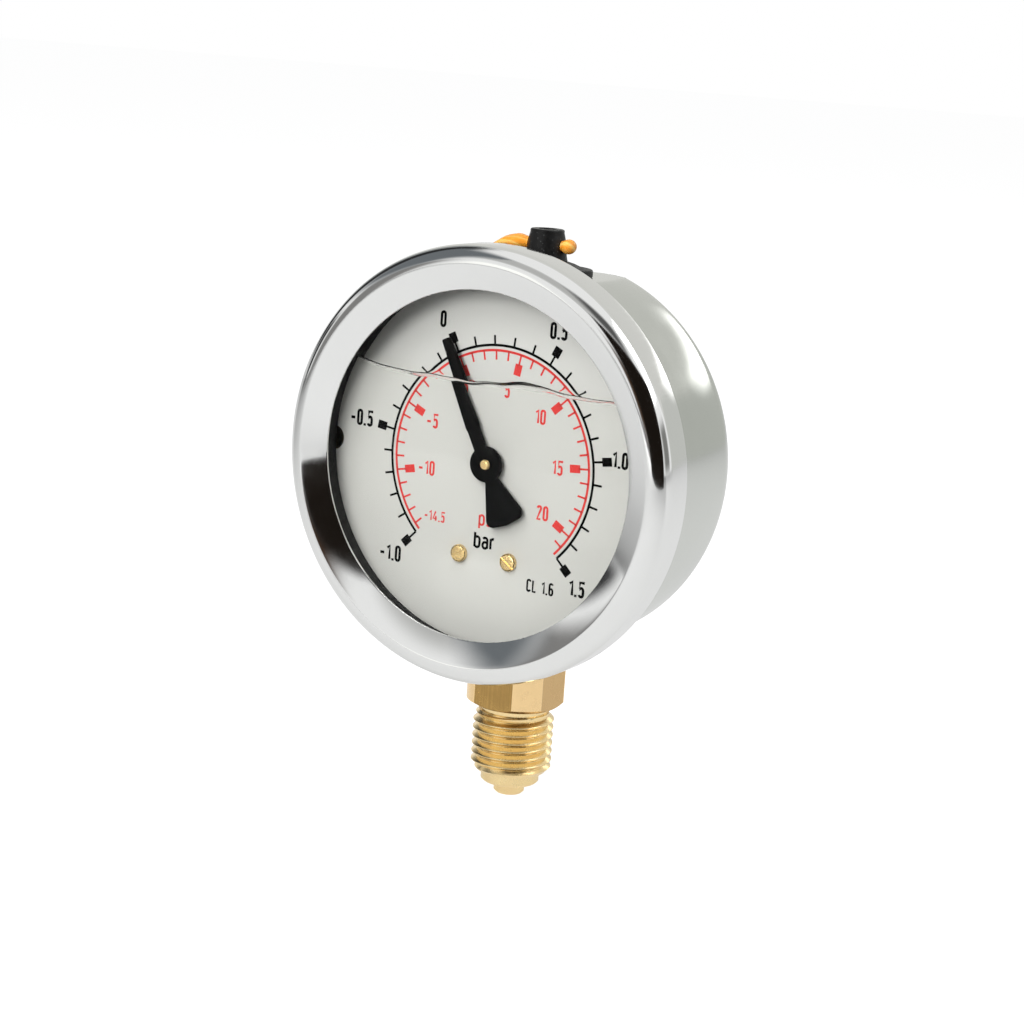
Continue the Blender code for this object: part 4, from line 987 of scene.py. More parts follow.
@dataclass
class Workshop:
    """Turns finished meshes into pieces that ride on the frame."""

    datum: Datum
    nodes: dict[str, bpy.types.Object]

    def publish(self, bm: BMesh, name: str, finish: Finish, slot: Slot, place: Place,
                body: Body = Body.GAUGE, replaces: Sequence[str] = (), sharp: float = SHARP_ANGLE,
                bend: Sequence[Vector] = ()) -> None:
        """Make a piece from a mesh.

        Args:
            bm: The mesh in its working frame, which is used up.
            name: Name of the piece.
            finish: Finish of its surface.
            slot: Material slot of the record that it follows; not used.
            place: Working frame of the mesh.
            body: CAD body that it rides on.
            replaces: CAD nodes that it stands for.
            sharp: Least angle of an edge that stays sharp.
            bend: Two points towards the tube's end; when given, the piece is fixed in the row frame instead
                of riding on a body, and it doesn't bend.
        """
        bmesh.ops.transform(bm, matrix=self.datum.matrix(place), verts=bm.verts)
        mesh = as_mesh(bm, name)
        mesh.shade_smooth()
        mesh.set_sharp_from_angle(angle=sharp)
        mesh.materials.append(finish.material(self.datum))
        piece = placed(name, mesh)
        if bend:
            ends = [self.datum.matrix(place) @ point for point in bend]
            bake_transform(piece)
        else:
            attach(piece, body.value)
        if replaces:
            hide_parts(*replaces)
        LOG.info("%s: %d faces on %s", name, len(mesh.polygons), body.value)

    def dress(self, names: Iterable[str], finish: Finish) -> None:
        """Give CAD nodes that stay a better finish.

        Args:
            names: The nodes.
            finish: Their finish.
        """
        for name in names:
            slots = self.nodes[name].data.materials
            slots.clear()
            slots.append(finish.material(self.datum))
            LOG.info("%s: dressed in %s", name, finish.name)


@dataclass
class CaseCup:
    """Drawn steel cup with a flange, holes for stem, screws and plug, and a flat seat for the plug."""

    shop: Workshop
    wall: float = 0.8
    corner: float = 7.0
    crown: float = 0.18
    crown_start: float = 2.0
    crown_slope: float = 4.6
    seat: float = 28.9
    seat_front: float = 6.6
    back_panel_radius: float = 20.0
    saddle_height: float = 1.1
    seat_slope: float = 1.5
    mouth_rounding: float = 0.6
    broken_edge: float = 0.1
    flange_fillet: float = 0.4
    side_start: float = 1.0
    neck_hole: float = 6.8
    plug_hole: float = 4.6
    screw_hole: float = 1.4
    tool_length: float = 8.0
    tool_steps: int = 48
    crown_steps: int = 8
    steps: int = 240

    PANEL: ClassVar[tuple[Point, ...]] = ((1.4, 0.0), (0.9, 0.06), (0.3, 0.29), (-0.2, 0.35))

    def build(self) -> None:
        """Turn the cup, cut its holes, press its seat and publish it."""
        datum = self.shop.datum
        flange = datum.radius("case")
        back = datum.back("case")
        front = datum.front("case")
        side = datum.top("vent_plug") - datum.centre_height - self.saddle_height
        inner = side - self.wall
        centre = (side - self.corner, back + self.corner)
        lean = math.radians(self.crown_slope)
        fall = self.crown_start - centre[1] + self.corner * math.sin(lean)
        outer = (side + self.crown - math.tan(lean) * fall / 2 - self.corner * math.cos(lean), centre[1])
        under = front - self.wall
        mouth, cut, fillet = self.mouth_rounding, self.broken_edge, self.flange_fillet
        profile = [(0.0, back + self.wall)] + arc(centre, self.corner - self.wall, -90, 0, 12)
        profile += arc((inner + mouth, front - mouth), mouth, 180, 90, 4)
        profile += [(flange - cut, front), (flange, front - cut)]
        profile += [(flange, under + cut), (flange - cut, under)]
        profile += arc((side + fillet, under - fillet), fillet, 90, 180, 4)
        profile += self.crown_points(side, under - self.side_start, fall)
        profile += arc(outer, self.corner, -self.crown_slope, -90, 18)
        profile += [(self.back_panel_radius + out, back + deep) for out, deep in self.PANEL]
        profile += [(0.0, back + self.PANEL[-1][1])]
        cup = carve(lathe(profile, self.steps), self.hole_tools(side))
        self.flatten(cup, side, centre)
        self.shop.publish(cup, "case_cup", Finishes.CASE, Slot.CASE, Place.DIAL, replaces=["case"])

    def crown_points(self, side: float, start: float, fall: float) -> list[Point]:
        """Slight swell of the cup's side, which leans in before the corner.

        Args:
            side: Outer radius of the cup.
            start: Where the side begins behind the flange.
            fall: Length of the stretch that leans in.

        Returns:
            Points from the flange to the corner.
        """
        bend = math.tan(math.radians(self.crown_slope)) / (2 * fall)
        points = []
        for index in range(self.crown_steps + 1):
            share = 1.0 - index / self.crown_steps
            points.append((side + self.crown * (1.0 - share ** 2),
                           self.crown_start + (start - self.crown_start) * share))
        for index in range(1, 2 * self.crown_steps):
            drop = fall * index / (2 * self.crown_steps)
            points.append((side + self.crown - bend * drop ** 2, self.crown_start - drop))
        return points

    def flatten(self, cup: BMesh, side: float, centre: Point) -> None:
        """Press the seat of the plug flat into the top of the cup.

        Args:
            cup: The cup, in the dial's frame.
            side: Outer radius of the cup.
            centre: Middle of the corner's rounding.
        """
        middle = self.corner - self.wall / 2
        for vert in cup.verts:
            reach = math.hypot(vert.co.x, vert.co.y)
            inside = reach < side - self.wall / 2
            if vert.co.z < centre[1]:
                inside = math.hypot(reach - centre[0], vert.co.z - centre[1]) < middle
            limit = self.seat - (self.wall if inside else 0.0)
            limit += max(0.0, vert.co.z - self.seat_front) * self.seat_slope
            vert.co.y = min(vert.co.y, limit)

    def hole_tools(self, side: float) -> list[BMesh]:
        """Cutters for the stem's neck, the plug and the stem screws, in the dial's frame.

        Args:
            side: Outer radius of the cup.

        Returns:
            The cutters.
        """
        holes = [(self.neck_hole, math.pi), (self.plug_hole, 0.0)]
        for node in ("stem_screw_left", "stem_screw_right"):
            holes.append((self.screw_hole, math.atan2(*self.shop.datum.middle(node))))
        return [self.radial_tool(radius, side, turn) for radius, turn in holes]

    def radial_tool(self, radius: float, side: float, turn: float) -> BMesh:
        """Round cutter through the cup's side, in a direction clockwise from straight up.

        Args:
            radius: Radius of the hole.
            side: Outer radius of the cup.
            turn: Direction of the hole.

        Returns:
            The cutter.
        """
        tool = bmesh.new()
        place = Matrix.Rotation(-turn, 4, "Z") @ Matrix.Translation((0.0, side, 0.0))
        place = place @ Matrix.Rotation(math.pi / 2, 4, "X")
        bmesh.ops.create_cone(tool, cap_ends=True, segments=self.tool_steps, radius1=radius, radius2=radius,
                              depth=self.tool_length, matrix=place)
        return tool


@dataclass
class CrimpRing:
    """Polished ring rolled round the window and the case's flange."""

    shop: Workshop
    sheet: float = 0.6
    rounding: float = 3.0
    slope_drop: float = 1.9
    opening: float = 27.1
    bead: float = 0.3
    lip: float = 2.0
    crest_rounding: float = 0.16
    back_rounding: float = 0.5
    broken_edge: float = 0.1
    steps: int = 192

    def build(self) -> None:
        """Turn the ring and publish it."""
        datum = self.shop.datum
        radius = datum.radius("crimp_ring")
        front = datum.front("crimp_ring")
        back = datum.back("crimp_ring")
        crest = radius - self.rounding
        edge = front - self.slope_drop
        slope = math.degrees(math.atan2(front - edge, crest - self.opening))
        profile = arc((self.opening + self.bead, edge - self.bead), self.bead, 235, 90 + slope, 8)
        profile += self.crest_points(crest, front, slope)
        profile += arc((crest, front - self.rounding), self.rounding, 84, 0, 16)
        turn = self.back_rounding
        profile += arc((radius - turn, back + turn), turn, 0, -90, 6)
        lip = radius - self.lip
        profile += [(lip + self.broken_edge, back), (lip, back + self.broken_edge)]
        profile += [(lip, back + self.sheet), (radius - self.sheet, back + self.sheet)]
        profile += arc((crest, front - self.rounding), self.rounding - self.sheet, 0, 90, 10)
        profile += [(self.opening + self.bead * 1.6, edge - self.sheet)]
        self.shop.publish(lathe(profile, self.steps, closed=True), "ring_rolled", Finishes.RING, Slot.RING,
                          Place.DIAL, replaces=["crimp_ring"])

    def crest_points(self, crest: float, front: float, slope: float) -> list[Point]:
        """Small rounding where the slope meets the outer curve.

        Args:
            crest: Radius of the crest.
            front: Height of the crest.
            slope: Angle of the slope, in degrees.

        Returns:
            Points from the slope over the crest.
        """
        lean = math.radians(slope)
        back_off = self.crest_rounding
        return [(crest - 4 * back_off * math.cos(lean), front - 4 * back_off * math.sin(lean)),
                (crest - back_off * math.cos(lean), front - back_off * math.sin(lean)),
                (crest - back_off * 0.2, front - back_off * 0.12), (crest + back_off, front - 0.01)]


@dataclass
class FrontGlazing:
    """Window, the seal behind it and the liquid with its meniscus."""

    shop: Workshop
    edge_rounding: float = 0.25
    seal_rounding: float = 0.15
    seal_flat: float = 0.5
    skirt_gap: float = 0.4
    skirt_width: float = 1.1
    liquid_gap: float = 0.04
    liquid_edge: float = 0.1
    liquid_under: float = 0.3
    level: float = 12.0
    window_climb: float = 0.95
    dial_climb: float = 0.8
    climb_length: float = 0.85
    swell: float = 1.1
    swell_middle: float = 7.5
    swell_width: float = 4.0
    left_climb: float = 3.6
    left_length: float = 3.5
    right_climb: float = 0.8
    right_length: float = 1.5
    chord_points: int = 150
    layers: int = 22
    steps: int = 160

    RIPPLES: ClassVar[tuple[tuple[float, float, float], ...]] = ((0.14, 0.55, 0.4), (0.07, 1.15, 1.3))

    def build(self) -> None:
        """Make the window, the seal and the liquid."""
        self.build_window()
        self.build_seal()
        self.build_liquid()

    def build_window(self) -> None:
        """Clear disc with its edges broken."""
        datum = self.shop.datum
        radius = datum.radius("window")
        front = datum.front("window")
        back = datum.back("window")
        cut = self.edge_rounding
        profile = [(0.0, front), (radius - cut, front), (radius, front - cut), (radius, back + cut)]
        profile += [(radius - cut, back), (0.0, back)]
        self.shop.publish(lathe(profile, self.steps), "window_pane", Finishes.WINDOW, Slot.WINDOW, Place.DIAL,
                          replaces=["window"])

    def build_seal(self) -> None:
        """Rubber ring with a flat under the window and a skirt down to the dial."""
        datum = self.shop.datum
        front = datum.front("window_seal")
        end = datum.back("window_seal")
        outer = datum.radius("window_seal")
        skirt = datum.radius("dial") + self.skirt_gap
        inner = skirt - self.skirt_width
        under = front - self.seal_flat
        cut = self.seal_rounding
        profile = [(inner, front - cut), (inner + cut, front), (outer - cut, front), (outer, front - cut)]
        profile += [(outer, under + cut), (outer - cut, under), (skirt, under), (skirt, end + cut)]
        profile += [(skirt - cut, end), (inner + cut, end), (inner, end + cut)]
        self.shop.publish(lathe(profile, self.steps, closed=True), "seal_ring", Finishes.SEAL, Slot.RUBBER,
                          Place.DIAL, replaces=["window_seal"])

    def build_liquid(self) -> None:
        """Liquid between dial and window, whose surface climbs every wall that it meets."""
        datum = self.shop.datum
        radius = datum.radius("dial") - self.liquid_edge
        dial = datum.front("dial")
        back = dial - self.liquid_under
        front = datum.back("window") - self.liquid_gap
        reach = math.sqrt(radius ** 2 - self.level ** 2)
        start = math.degrees(math.asin(self.level / radius))
        outline = arc((0.0, 0.0), radius, 180 - start, 360 + start, 2 * self.chord_points)[:-1]
        outline += [(reach * (1 - 2 * index / self.chord_points), self.level)
                    for index in range(self.chord_points)]
        bm = bmesh.new()
        verts = [bm.verts.new((x, y, back)) for x, y in outline]
        face = bm.faces.new(verts)
        layer = [face]
        height = back
        for index in range(1, self.layers + 1):
            share = 0.5 - 0.5 * math.cos(math.pi * index / self.layers)
            target = back + (front - back) * share
            rims = list({edge for face in layer for edge in face.edges})
            raised = bmesh.ops.extrude_face_region(bm, geom=layer + rims)
            layer = [item for item in raised["geom"] if isinstance(item, bmesh.types.BMFace)]
            bmesh.ops.translate(bm, verts=made_verts(raised), vec=(0.0, 0.0, target - height))
            height = target
        for vert in bm.verts:
            if abs(vert.co.y - self.level) < MERGE_DISTANCE:
                vert.co.y += self.rise(vert.co.x, vert.co.z, reach, dial, front)
        tidy(bm)
        self.shop.publish(bm, "glycerine_fill", Finishes.LIQUID, Slot.WINDOW, Place.DIAL,
                          sharp=math.radians(50))

    def rise(self, x: float, depth: float, reach: float, dial: float, window: float) -> float:
        """Height of the liquid's surface above its level.

        Args:
            x: Place along the surface.
            depth: Place between dial and window.
            reach: Half the length of the surface.
            dial: Depth of the dial's face.
            window: Depth of the window's back.

        Returns:
            The rise, in millimetres.
        """
        swell = 1.0 + self.swell * math.exp(-((x - self.swell_middle) / self.swell_width) ** 2)
        climb = self.window_climb * swell * math.exp((depth - window) / (self.climb_length * swell))
        climb += self.dial_climb * math.exp(-max(0.0, depth - dial) / self.climb_length)
        climb += self.left_climb * math.exp(-max(0.0, reach + x) / self.left_length)
        climb += self.right_climb * math.exp(-max(0.0, reach - x) / self.right_length)
        ripple = sum(height * math.sin(x * rate + phase) for height, rate, phase in self.RIPPLES)
        return climb + ripple * (1.0 - abs(x) / reach)


class StrokeFont:
    """Narrow drafting letters made of strokes, one unit tall."""

    STEM: ClassVar[float] = 0.31
    GAP: ClassVar[float] = 0.26

    def __init__(self) -> None:
        """Draw each glyph as its width and its strokes."""
        wide = self.STEM
        half = wide / 2
        top = (half, 1.0 - half)
        low = (half, half)
        bowl = (half, half)
        hook = (half, 0.42)
        x_height = 0.72
        x_top = (0.19, x_height - 0.19)
        x_low = (0.19, 0.19)
        x_bowl = (0.19, 0.19)
        x_round = bow(x_top, x_bowl, 180, 0) + bow(x_low, x_bowl, 0, -180)
        ring = bow(top, bowl, 0, 180) + bow(low, bowl, 180, 360)
        self.glyphs: dict[str, tuple[float, list[list[Point]]]] = {
            "0": (wide, [ring + ring[:1]]),
            "1": (0.20, [[(0.0, 0.80), (0.20, 0.99), (0.20, 0.0)]]),
            "2": (wide, [bow(top, bowl, 175, -30) + [(0.0, 0.0), (wide, 0.0)]]),
            "4": (0.46, [[(0.28, 1.0), (0.0, 0.24), (0.46, 0.24)], [(0.33, 0.52), (0.33, 0.0)]]),
            "5": (wide, [[(0.40, 1.0), (0.03, 1.0), (0.03, 0.50)] + bow(hook, (half, 0.20), 140, 0)
                         + bow(low, bowl, 0, -170)]),
            "6": (wide, [bow(top, bowl, 15, 180) + bow(low, bowl, 180, 360)
                         + bow((half, 0.38), bowl, 0, 175)]),
            "-": (0.34, [[(0.0, 0.42), (0.34, 0.42)]]),
            ".": (0.04, [[(0.02, -0.08), (0.02, 0.09)]]),
            " ": (0.10, []),
            "C": (wide, [bow(top, bowl, 5, 180) + bow(low, bowl, 180, 355)]),
            "L": (0.32, [[(0.0, 1.0), (0.0, 0.0), (0.32, 0.0)]]),
            "b": (0.38, [[(0.0, 1.0), (0.0, 0.0)], x_round]),
            "a": (0.36, [bow((0.18, x_height - 0.18), (0.18, 0.18), 150, 0) + [(0.36, 0.0)],
                         [(0.36, 0.42), (0.16, 0.42)] + bow((0.16, 0.21), (0.16, 0.21), 90, 270)
                         + [(0.26, 0.0), (0.36, 0.12)]]),
            "r": (0.24, [[(0.0, x_height), (0.0, 0.0)], bow((0.20, 0.50), (0.20, 0.22), 180, 75)]),
            "p": (0.38, [[(0.0, x_height), (0.0, -0.28)], x_round]),
            "s": (0.34, [bow((0.17, 0.545), (0.17, 0.175), 25, 250)
                         + bow((0.17, 0.185), (0.17, 0.185), 70, -155)]),
            "i": (0.0, [[(0.0, x_height), (0.0, 0.0)], [(0.0, 0.92), (0.0, 0.98)]]),
        }

    def width(self, text: str) -> float:
        """Width of a line of text, in units of its height."""
        return sum(self.glyphs[letter][0] for letter in text) + self.GAP * (len(text) - 1)

    def lines(self, text: str, centre: Point, height: float) -> list[list[Point]]:
        """Strokes of a line of text about its middle.

        Args:
            text: The characters.
            centre: Middle of the text.
            height: Height of a capital, in millimetres.

        Returns:
            The strokes, in millimetres.
        """
        left = -self.width(text) / 2
        strokes = []
        for letter in text:
            width, glyph = self.glyphs[letter]
            for stroke in glyph:
                strokes.append([(centre[0] + (left + x) * height, centre[1] + (y - 0.5) * height)
                                for x, y in stroke])
            left += width + self.GAP
        return strokes


@dataclass(frozen=True)
class Word:
    """Printed text with its place, the height of a capital and the width of a stroke."""

    text: str
    spot: Point
    height: float
    stroke: float


@dataclass(frozen=True)
class Scale:
    """One printed scale of the dial."""

    arc_radius: float
    arc_width: float
    tick_end: float
    tick_width: float
    block_start: float
    block_end: float
    block_width: float
    label_radius: float
    label_height: float
    stroke: float
    low: float
    high: float
    tick_step: float
    block_step: float
    angle_per_unit: float
    zero_angle: float
    decimals: int
    shifts: tuple[tuple[str, Point], ...]

    def angle(self, value: float) -> float:
        """Angle of a value from straight up, clockwise, in degrees."""
        return self.zero_angle + value * self.angle_per_unit

    def ticks(self) -> list[float]:
        """Every value that has a tick.

        Returns:
            The values in order.
        """
        first = math.ceil(self.low / self.tick_step - 0.01)
        last = math.floor(self.high / self.tick_step + 0.01)
        return [index * self.tick_step for index in range(first, last + 1)]

    def is_major(self, value: float) -> bool:
        """True for a value that has a block and a number."""
        return abs(value / self.block_step - round(value / self.block_step)) < 0.01

    def numbers(self) -> list[Word]:
        """Numbers of the scale, upright beside their blocks.

        Returns:
            The numbers as words.
        """
        words = []
        for value in filter(self.is_major, self.ticks()):
            turn = math.radians(self.angle(value))
            spot = (self.label_radius * math.sin(turn), self.label_radius * math.cos(turn))
            text = f"{value:.{self.decimals}f}" if abs(value) > self.tick_step / 2 else "0"
            shift = dict(self.shifts).get(text, (0.0, 0.0))
            spot = (spot[0] + shift[0], spot[1] + shift[1])
            words.append(Word(text, spot, self.label_height, self.stroke))
        return words


@dataclass
class DialFace:
    """Dial plate, its printed scales and the two screws that hold it."""

    shop: Workshop
    notch: float = 2.0
    hole: float = 1.8
    screw_hole: float = 1.1
    ink_height: float = 0.035
    ink_depth: float = 0.02
    ink_flatness: float = 0.2
    ink_overlap: float = 0.2
    edge_rounding: float = 0.08
    low_radius: float = 13.6
    low_drop: float = 0.2
    screw_lift: float = 0.02
    screw_rounding: float = 0.35
    screw_shank: float = 0.8
    screw_point: float = 0.2
    slot_half: float = 0.2
    slot_depth: float = 0.38
    slot_turn: float = 35.0
    arc_steps: int = 150
    steps: int = 120
    font: StrokeFont = field(default_factory=StrokeFont)
    bar: Scale = Scale(
        arc_radius=18.2, arc_width=0.40, tick_end=19.75, tick_width=0.34, block_start=19.75, block_end=21.4,
        block_width=1.35, label_radius=24.2, label_height=2.2, stroke=0.46, low=-1.0, high=1.5, tick_step=0.1,
        block_step=0.5, angle_per_unit=108.0, zero_angle=-27.0, decimals=1,
        shifts=(("0", (-0.4, -0.5)), ("0.5", (-1.6, 0.0)), ("1.0", (-1.4, 0.0)), ("-0.5", (-0.5, 0.1)),
                ("-1.0", (-0.4, 0.1)), ("1.5", (-0.4, 0.1))))
    psi: Scale = Scale(
        arc_radius=17.4, arc_width=0.38, tick_end=15.95, tick_width=0.30, block_start=14.1, block_end=15.9,
        block_width=1.25, label_radius=11.9, label_height=2.0, stroke=0.37, low=-14.5038, high=21.7557,
        tick_step=1.0, block_step=5.0, angle_per_unit=108.0 / 14.5038, zero_angle=-27.0, decimals=0,
        shifts=(("-5", (-0.4, 0.0)), ("10", (-0.5, 0.4)), ("20", (-0.3, 0.0))))

    def build(self) -> None:
        """Make the plate, the print and the screws."""
        self.build_plate()
        self.build_print("bar_scale", self.bar, self.black_words(), Finishes.BLACK_INK)
        self.build_print("psi_scale", self.psi, self.red_words(), Finishes.RED_INK)
        for side in Side:
            self.build_screw(side)

    def build_plate(self) -> None:
        """Plate with a half-round notch on either side and its holes."""
        datum = self.shop.datum
        radius = datum.top("dial") - datum.centre_height
        half = math.degrees(2 * math.asin(self.notch / radius / 2))
        outline = []
        for middle in (0.0, 180.0):
            outline += arc((0.0, 0.0), radius, middle + half, middle + 180 - half, self.steps // 2)
            turn = math.radians(middle)
            centre = (-radius * math.cos(turn), -radius * math.sin(turn))
            outline += arc(centre, self.notch, middle + 90 - half / 2, middle - 90 + half / 2, 14)[1:-1]
        holes = [circle((0.0, 0.0), self.hole, 32)]
        holes += [circle(self.screw_spot(side), self.screw_hole, 24) for side in Side]
        bm = slab([outline, *holes], datum.back("dial"), datum.front("dial"))
        soften(bm, self.edge_rounding)
        self.shop.publish(bm, "dial_plate", Finishes.DIAL, Slot.DIAL, Place.DIAL, replaces=["dial"])

    def screw_spot(self, side: Side) -> Point:
        """Place of a dial screw on the dial."""
        return self.shop.datum.middle("dial_screw_" + side.name.lower())

    def black_words(self) -> list[Word]:
        """Black words other than the scale's numbers."""
        return [Word("bar", (-0.2, -12.3), 2.3, 0.42), Word("CL 1.6", (10.3, -17.9), 1.75, 0.34)]

    def red_words(self) -> list[Word]:
        """Red words other than the scale's numbers.

        Returns:
            The words.
        """
        low = math.radians(self.psi.angle(self.psi.low))
        spot = (self.low_radius * math.sin(low), self.low_radius * math.cos(low) - self.low_drop)
        return [Word("psi", (0.0, -8.8), 2.1, 0.35), Word("-14.5", spot, 1.5, 0.28)]

    def build_print(self, name: str, scale: Scale, words: Sequence[Word], finish: Finish) -> None:
        """Print a scale and words in one ink.

        Args:
            name: Name of the piece.
            scale: The scale.
            words: Words other than the scale's numbers.
            finish: The ink.
        """
        front = self.shop.datum.front("dial")
        marks = self.scale_marks(scale, front)
        letters = self.inked([*words, *scale.numbers()], front)
        self.shop.publish(joined([*marks, letters]), name, finish, Slot.DIAL, Place.DIAL)

    def scale_marks(self, scale: Scale, front: float) -> list[BMesh]:
        """Arc, ticks and blocks of a scale.

        Args:
            scale: The scale.
            front: Height of the dial's face.

        Returns:
            The marks.
        """
        low, high = front - self.ink_depth, front + self.ink_height
        marks = [self.sector(scale, low, high)]
        outward = scale.tick_end > scale.arc_radius
        tick, block = scale.tick_width / 2, scale.block_width / 2
        for value in scale.ticks():
            turn = Matrix.Rotation(-math.radians(scale.angle(value)), 4, "Z")
            near, far = sorted((scale.arc_radius, scale.tick_end))
            marks.append(box((-tick, near, low), (tick, far, high), turn))
            if not scale.is_major(value):
                continue
            if not outward:
                join = scale.block_end - self.ink_overlap
                marks.append(box((-tick, join, low), (tick, scale.tick_end, high), turn))
            marks.append(box((-block, scale.block_start, low), (block, scale.block_end, high), turn))
        return marks

    def sector(self, scale: Scale, low: float, high: float) -> BMesh:
        """Line of a scale's arc.

        Args:
            scale: The scale.
            low: Height of its underside.
            high: Height of its top.

        Returns:
            The mesh.
        """
        bm = bmesh.new()
        half = scale.arc_width / 2
        corners = [(scale.arc_radius - half, low), (scale.arc_radius + half, low),
                   (scale.arc_radius + half, high), (scale.arc_radius - half, high)]
        face = bm.faces.new([bm.verts.new((0.0, radius, height)) for radius, height in corners])
        start = math.radians(scale.angle(scale.low))
        sweep = math.radians(scale.angle(scale.high)) - start
        bmesh.ops.rotate(bm, verts=bm.verts, cent=(0, 0, 0), matrix=Matrix.Rotation(-start, 3, "Z"))
        bmesh.ops.spin(bm, geom=[face], cent=(0, 0, 0), axis=(0, 0, 1), angle=-sweep,
                       steps=self.arc_steps, use_duplicate=False)
        bmesh.ops.recalc_face_normals(bm, faces=bm.faces)
        return bm

    def inked(self, words: Sequence[Word], front: float) -> BMesh:
        """Flat ink along the strokes of words.

        Args:
            words: The words.
            front: Height of the dial's face.

        Returns:
            The mesh.
        """
        curve = bpy.data.curves.new("inking", "CURVE")
        curve.dimensions = "3D"
        curve.bevel_depth = 0.5
        curve.bevel_resolution = 1
        curve.use_fill_caps = True
        for word in words:
            for stroke in self.font.lines(word.text, word.spot, word.height):
                spline = curve.splines.new("POLY")
                spline.points.add(len(stroke) - 1)
                for point, (x, y) in zip(spline.points, stroke):
                    point.co = (x, y, 0.0, 1.0)
                    point.radius = word.stroke
        guide = placed("inking", curve)
        graph = bpy.context.evaluated_depsgraph_get()
        mesh = bpy.data.meshes.new_from_object(guide.evaluated_get(graph))
        bm = bmesh.new()
        bm.from_mesh(mesh)
        bpy.data.meshes.remove(mesh)
        bpy.data.objects.remove(guide, do_unlink=True)
        bpy.data.curves.remove(curve)
        bmesh.ops.scale(bm, vec=(1.0, 1.0, self.ink_flatness), verts=bm.verts)
        bmesh.ops.translate(bm, vec=(0.0, 0.0, front), verts=bm.verts)
        return bm

    def build_screw(self, side: Side) -> None:
        """Brass screw on one side, with a slotted, slightly domed head.

        Args:
            side: Which of the two screws.
        """
        datum = self.shop.datum
        node = "dial_screw_" + side.name.lower()
        radius = datum.radius(node)
        top = datum.front(node)
        seat = datum.front("dial") + self.screw_lift
        foot = datum.back(node)
        cut, shank, point, half = self.screw_rounding, self.screw_shank, self.screw_point, self.slot_half
        profile = [(0.0, top)] + arc((radius - cut, top - cut), cut, 80, 0, 5)
        profile += [(radius, seat), (shank, seat), (shank, foot + point), (shank - point, foot), (0.0, foot)]
        turn = Matrix.Rotation(math.radians(-self.slot_turn * side.value), 4, "Z")
        slot = box((-3.0, -half, top - self.slot_depth), (3.0, half, top + 1.0), turn)
        bm = carve(lathe(profile, 40), [slot])
        bmesh.ops.translate(bm, vec=(*self.screw_spot(side), 0.0), verts=bm.verts)
        self.shop.publish(bm, node + "_head", Finishes.MOVEMENT, Slot.BRASS, Place.DIAL, replaces=[node])


@dataclass
class Pointer:
    """Black pointer with a stepped needle, a round hub and a fan-shaped tail."""

    shop: Workshop
    rest_turn: float = 27.0
    hub: float = 2.8
    length: float = 20.6
    tip_width: float = 1.25
    shoulder: float = 6.0
    root_width: float = 2.15
    shoulder_width: float = 2.45
    waist: float = 2.2
    tail_length: float = 9.95
    tail_width: float = 6.6
    tail_corner: float = 1.2
    tail_bulge: float = 0.3
    bore: float = 0.85
    boss_radius: float = 1.6
    boss_height: float = 0.6
    boss_edge: float = 0.1
    edge_rounding: float = 0.09
    tip_corner: float = 0.15
    shoulder_step: float = 0.12
    arbor_tip: float = 0.62
    tip_rounding: float = 0.2
    arbor: float = 0.8

    CENTRE_MARK: ClassVar[tuple[Point, ...]] = ((0.0, -0.22), (0.16, -0.05), (0.22, 0.02))

    def build(self) -> None:
        """Make the pointer and the end of its arbor."""
        datum = self.shop.datum
        front = datum.front("pointer")
        foot = datum.back("pointer")
        back = foot + self.boss_height
        blade = slab([self.outline(), circle((0.0, 0.0), self.bore, 32)], back, front)
        soften(blade, self.edge_rounding)
        bmesh.ops.rotate(blade, verts=blade.verts, cent=(0, 0, 0),
                         matrix=Matrix.Rotation(math.radians(self.rest_turn), 3, "Z"))
        wide, cut = self.boss_radius, self.boss_edge
        boss = lathe([(self.bore, back + cut), (wide, back + cut), (wide, foot + cut), (wide - cut, foot),
                      (self.bore, foot)], 40, closed=True)
        self.shop.publish(joined([blade, boss]), "pointer_blade", Finishes.POINTER, Slot.POINTER, Place.DIAL,
                          body=Body.POINTER, replaces=["pointer"])
        self.build_tip()

    def outline(self) -> list[Point]:
        """Edge of the pointer, pointing straight up.

        Returns:
            Points clockwise from the tip.
        """
        root = self.root_width / 2
        waist = self.waist / 2
        shoulder = self.shoulder_width / 2
        needle = math.degrees(math.acos(root / self.hub))
        tail = -math.degrees(math.acos(waist / self.hub))
        corner = (self.tail_width / 2 - self.tail_corner,
                  self.tail_bulge + self.tail_corner - self.tail_length)
        waist_y = self.hub * math.sin(math.radians(tail))
        flank = math.degrees(math.atan2(corner[1] - waist_y, corner[0] - waist)) + 90
        end = math.degrees(math.atan2(self.tail_bulge, corner[0])) - 90
        tip, cut = self.tip_width / 2, self.tip_corner
        right = [(tip - cut, self.length), (tip, self.length - cut)]
        right += [(shoulder, self.shoulder), (root, self.shoulder - self.shoulder_step)]
        right += arc((0.0, 0.0), self.hub, needle, tail, 28)
        right += arc(corner, self.tail_corner, flank, end, 10)
        left = [(-x, y) for x, y in reversed(right)]
        return right + [(0.0, -self.tail_length)] + left

    def build_tip(self) -> None:
        """Brass end of the arbor in the hub, with a small centre mark."""
        top = self.shop.datum.front("pinion_arbor")
        low = self.shop.datum.front("pointer") - 0.4
        reach = self.arbor_tip
        profile = [(out, top + rise) for out, rise in self.CENTRE_MARK]
        profile += arc((reach - self.tip_rounding, top - 0.18), self.tip_rounding, 90, 0, 5)
        profile += [(reach, top - 0.4), (self.arbor, top - 0.5), (self.arbor, low), (0.71, low)]
        tip = lathe(profile, 36)
        self.shop.publish(tip, "arbor_end", Finishes.MOVEMENT, Slot.BRASS, Place.DIAL, body=Body.POINTER)


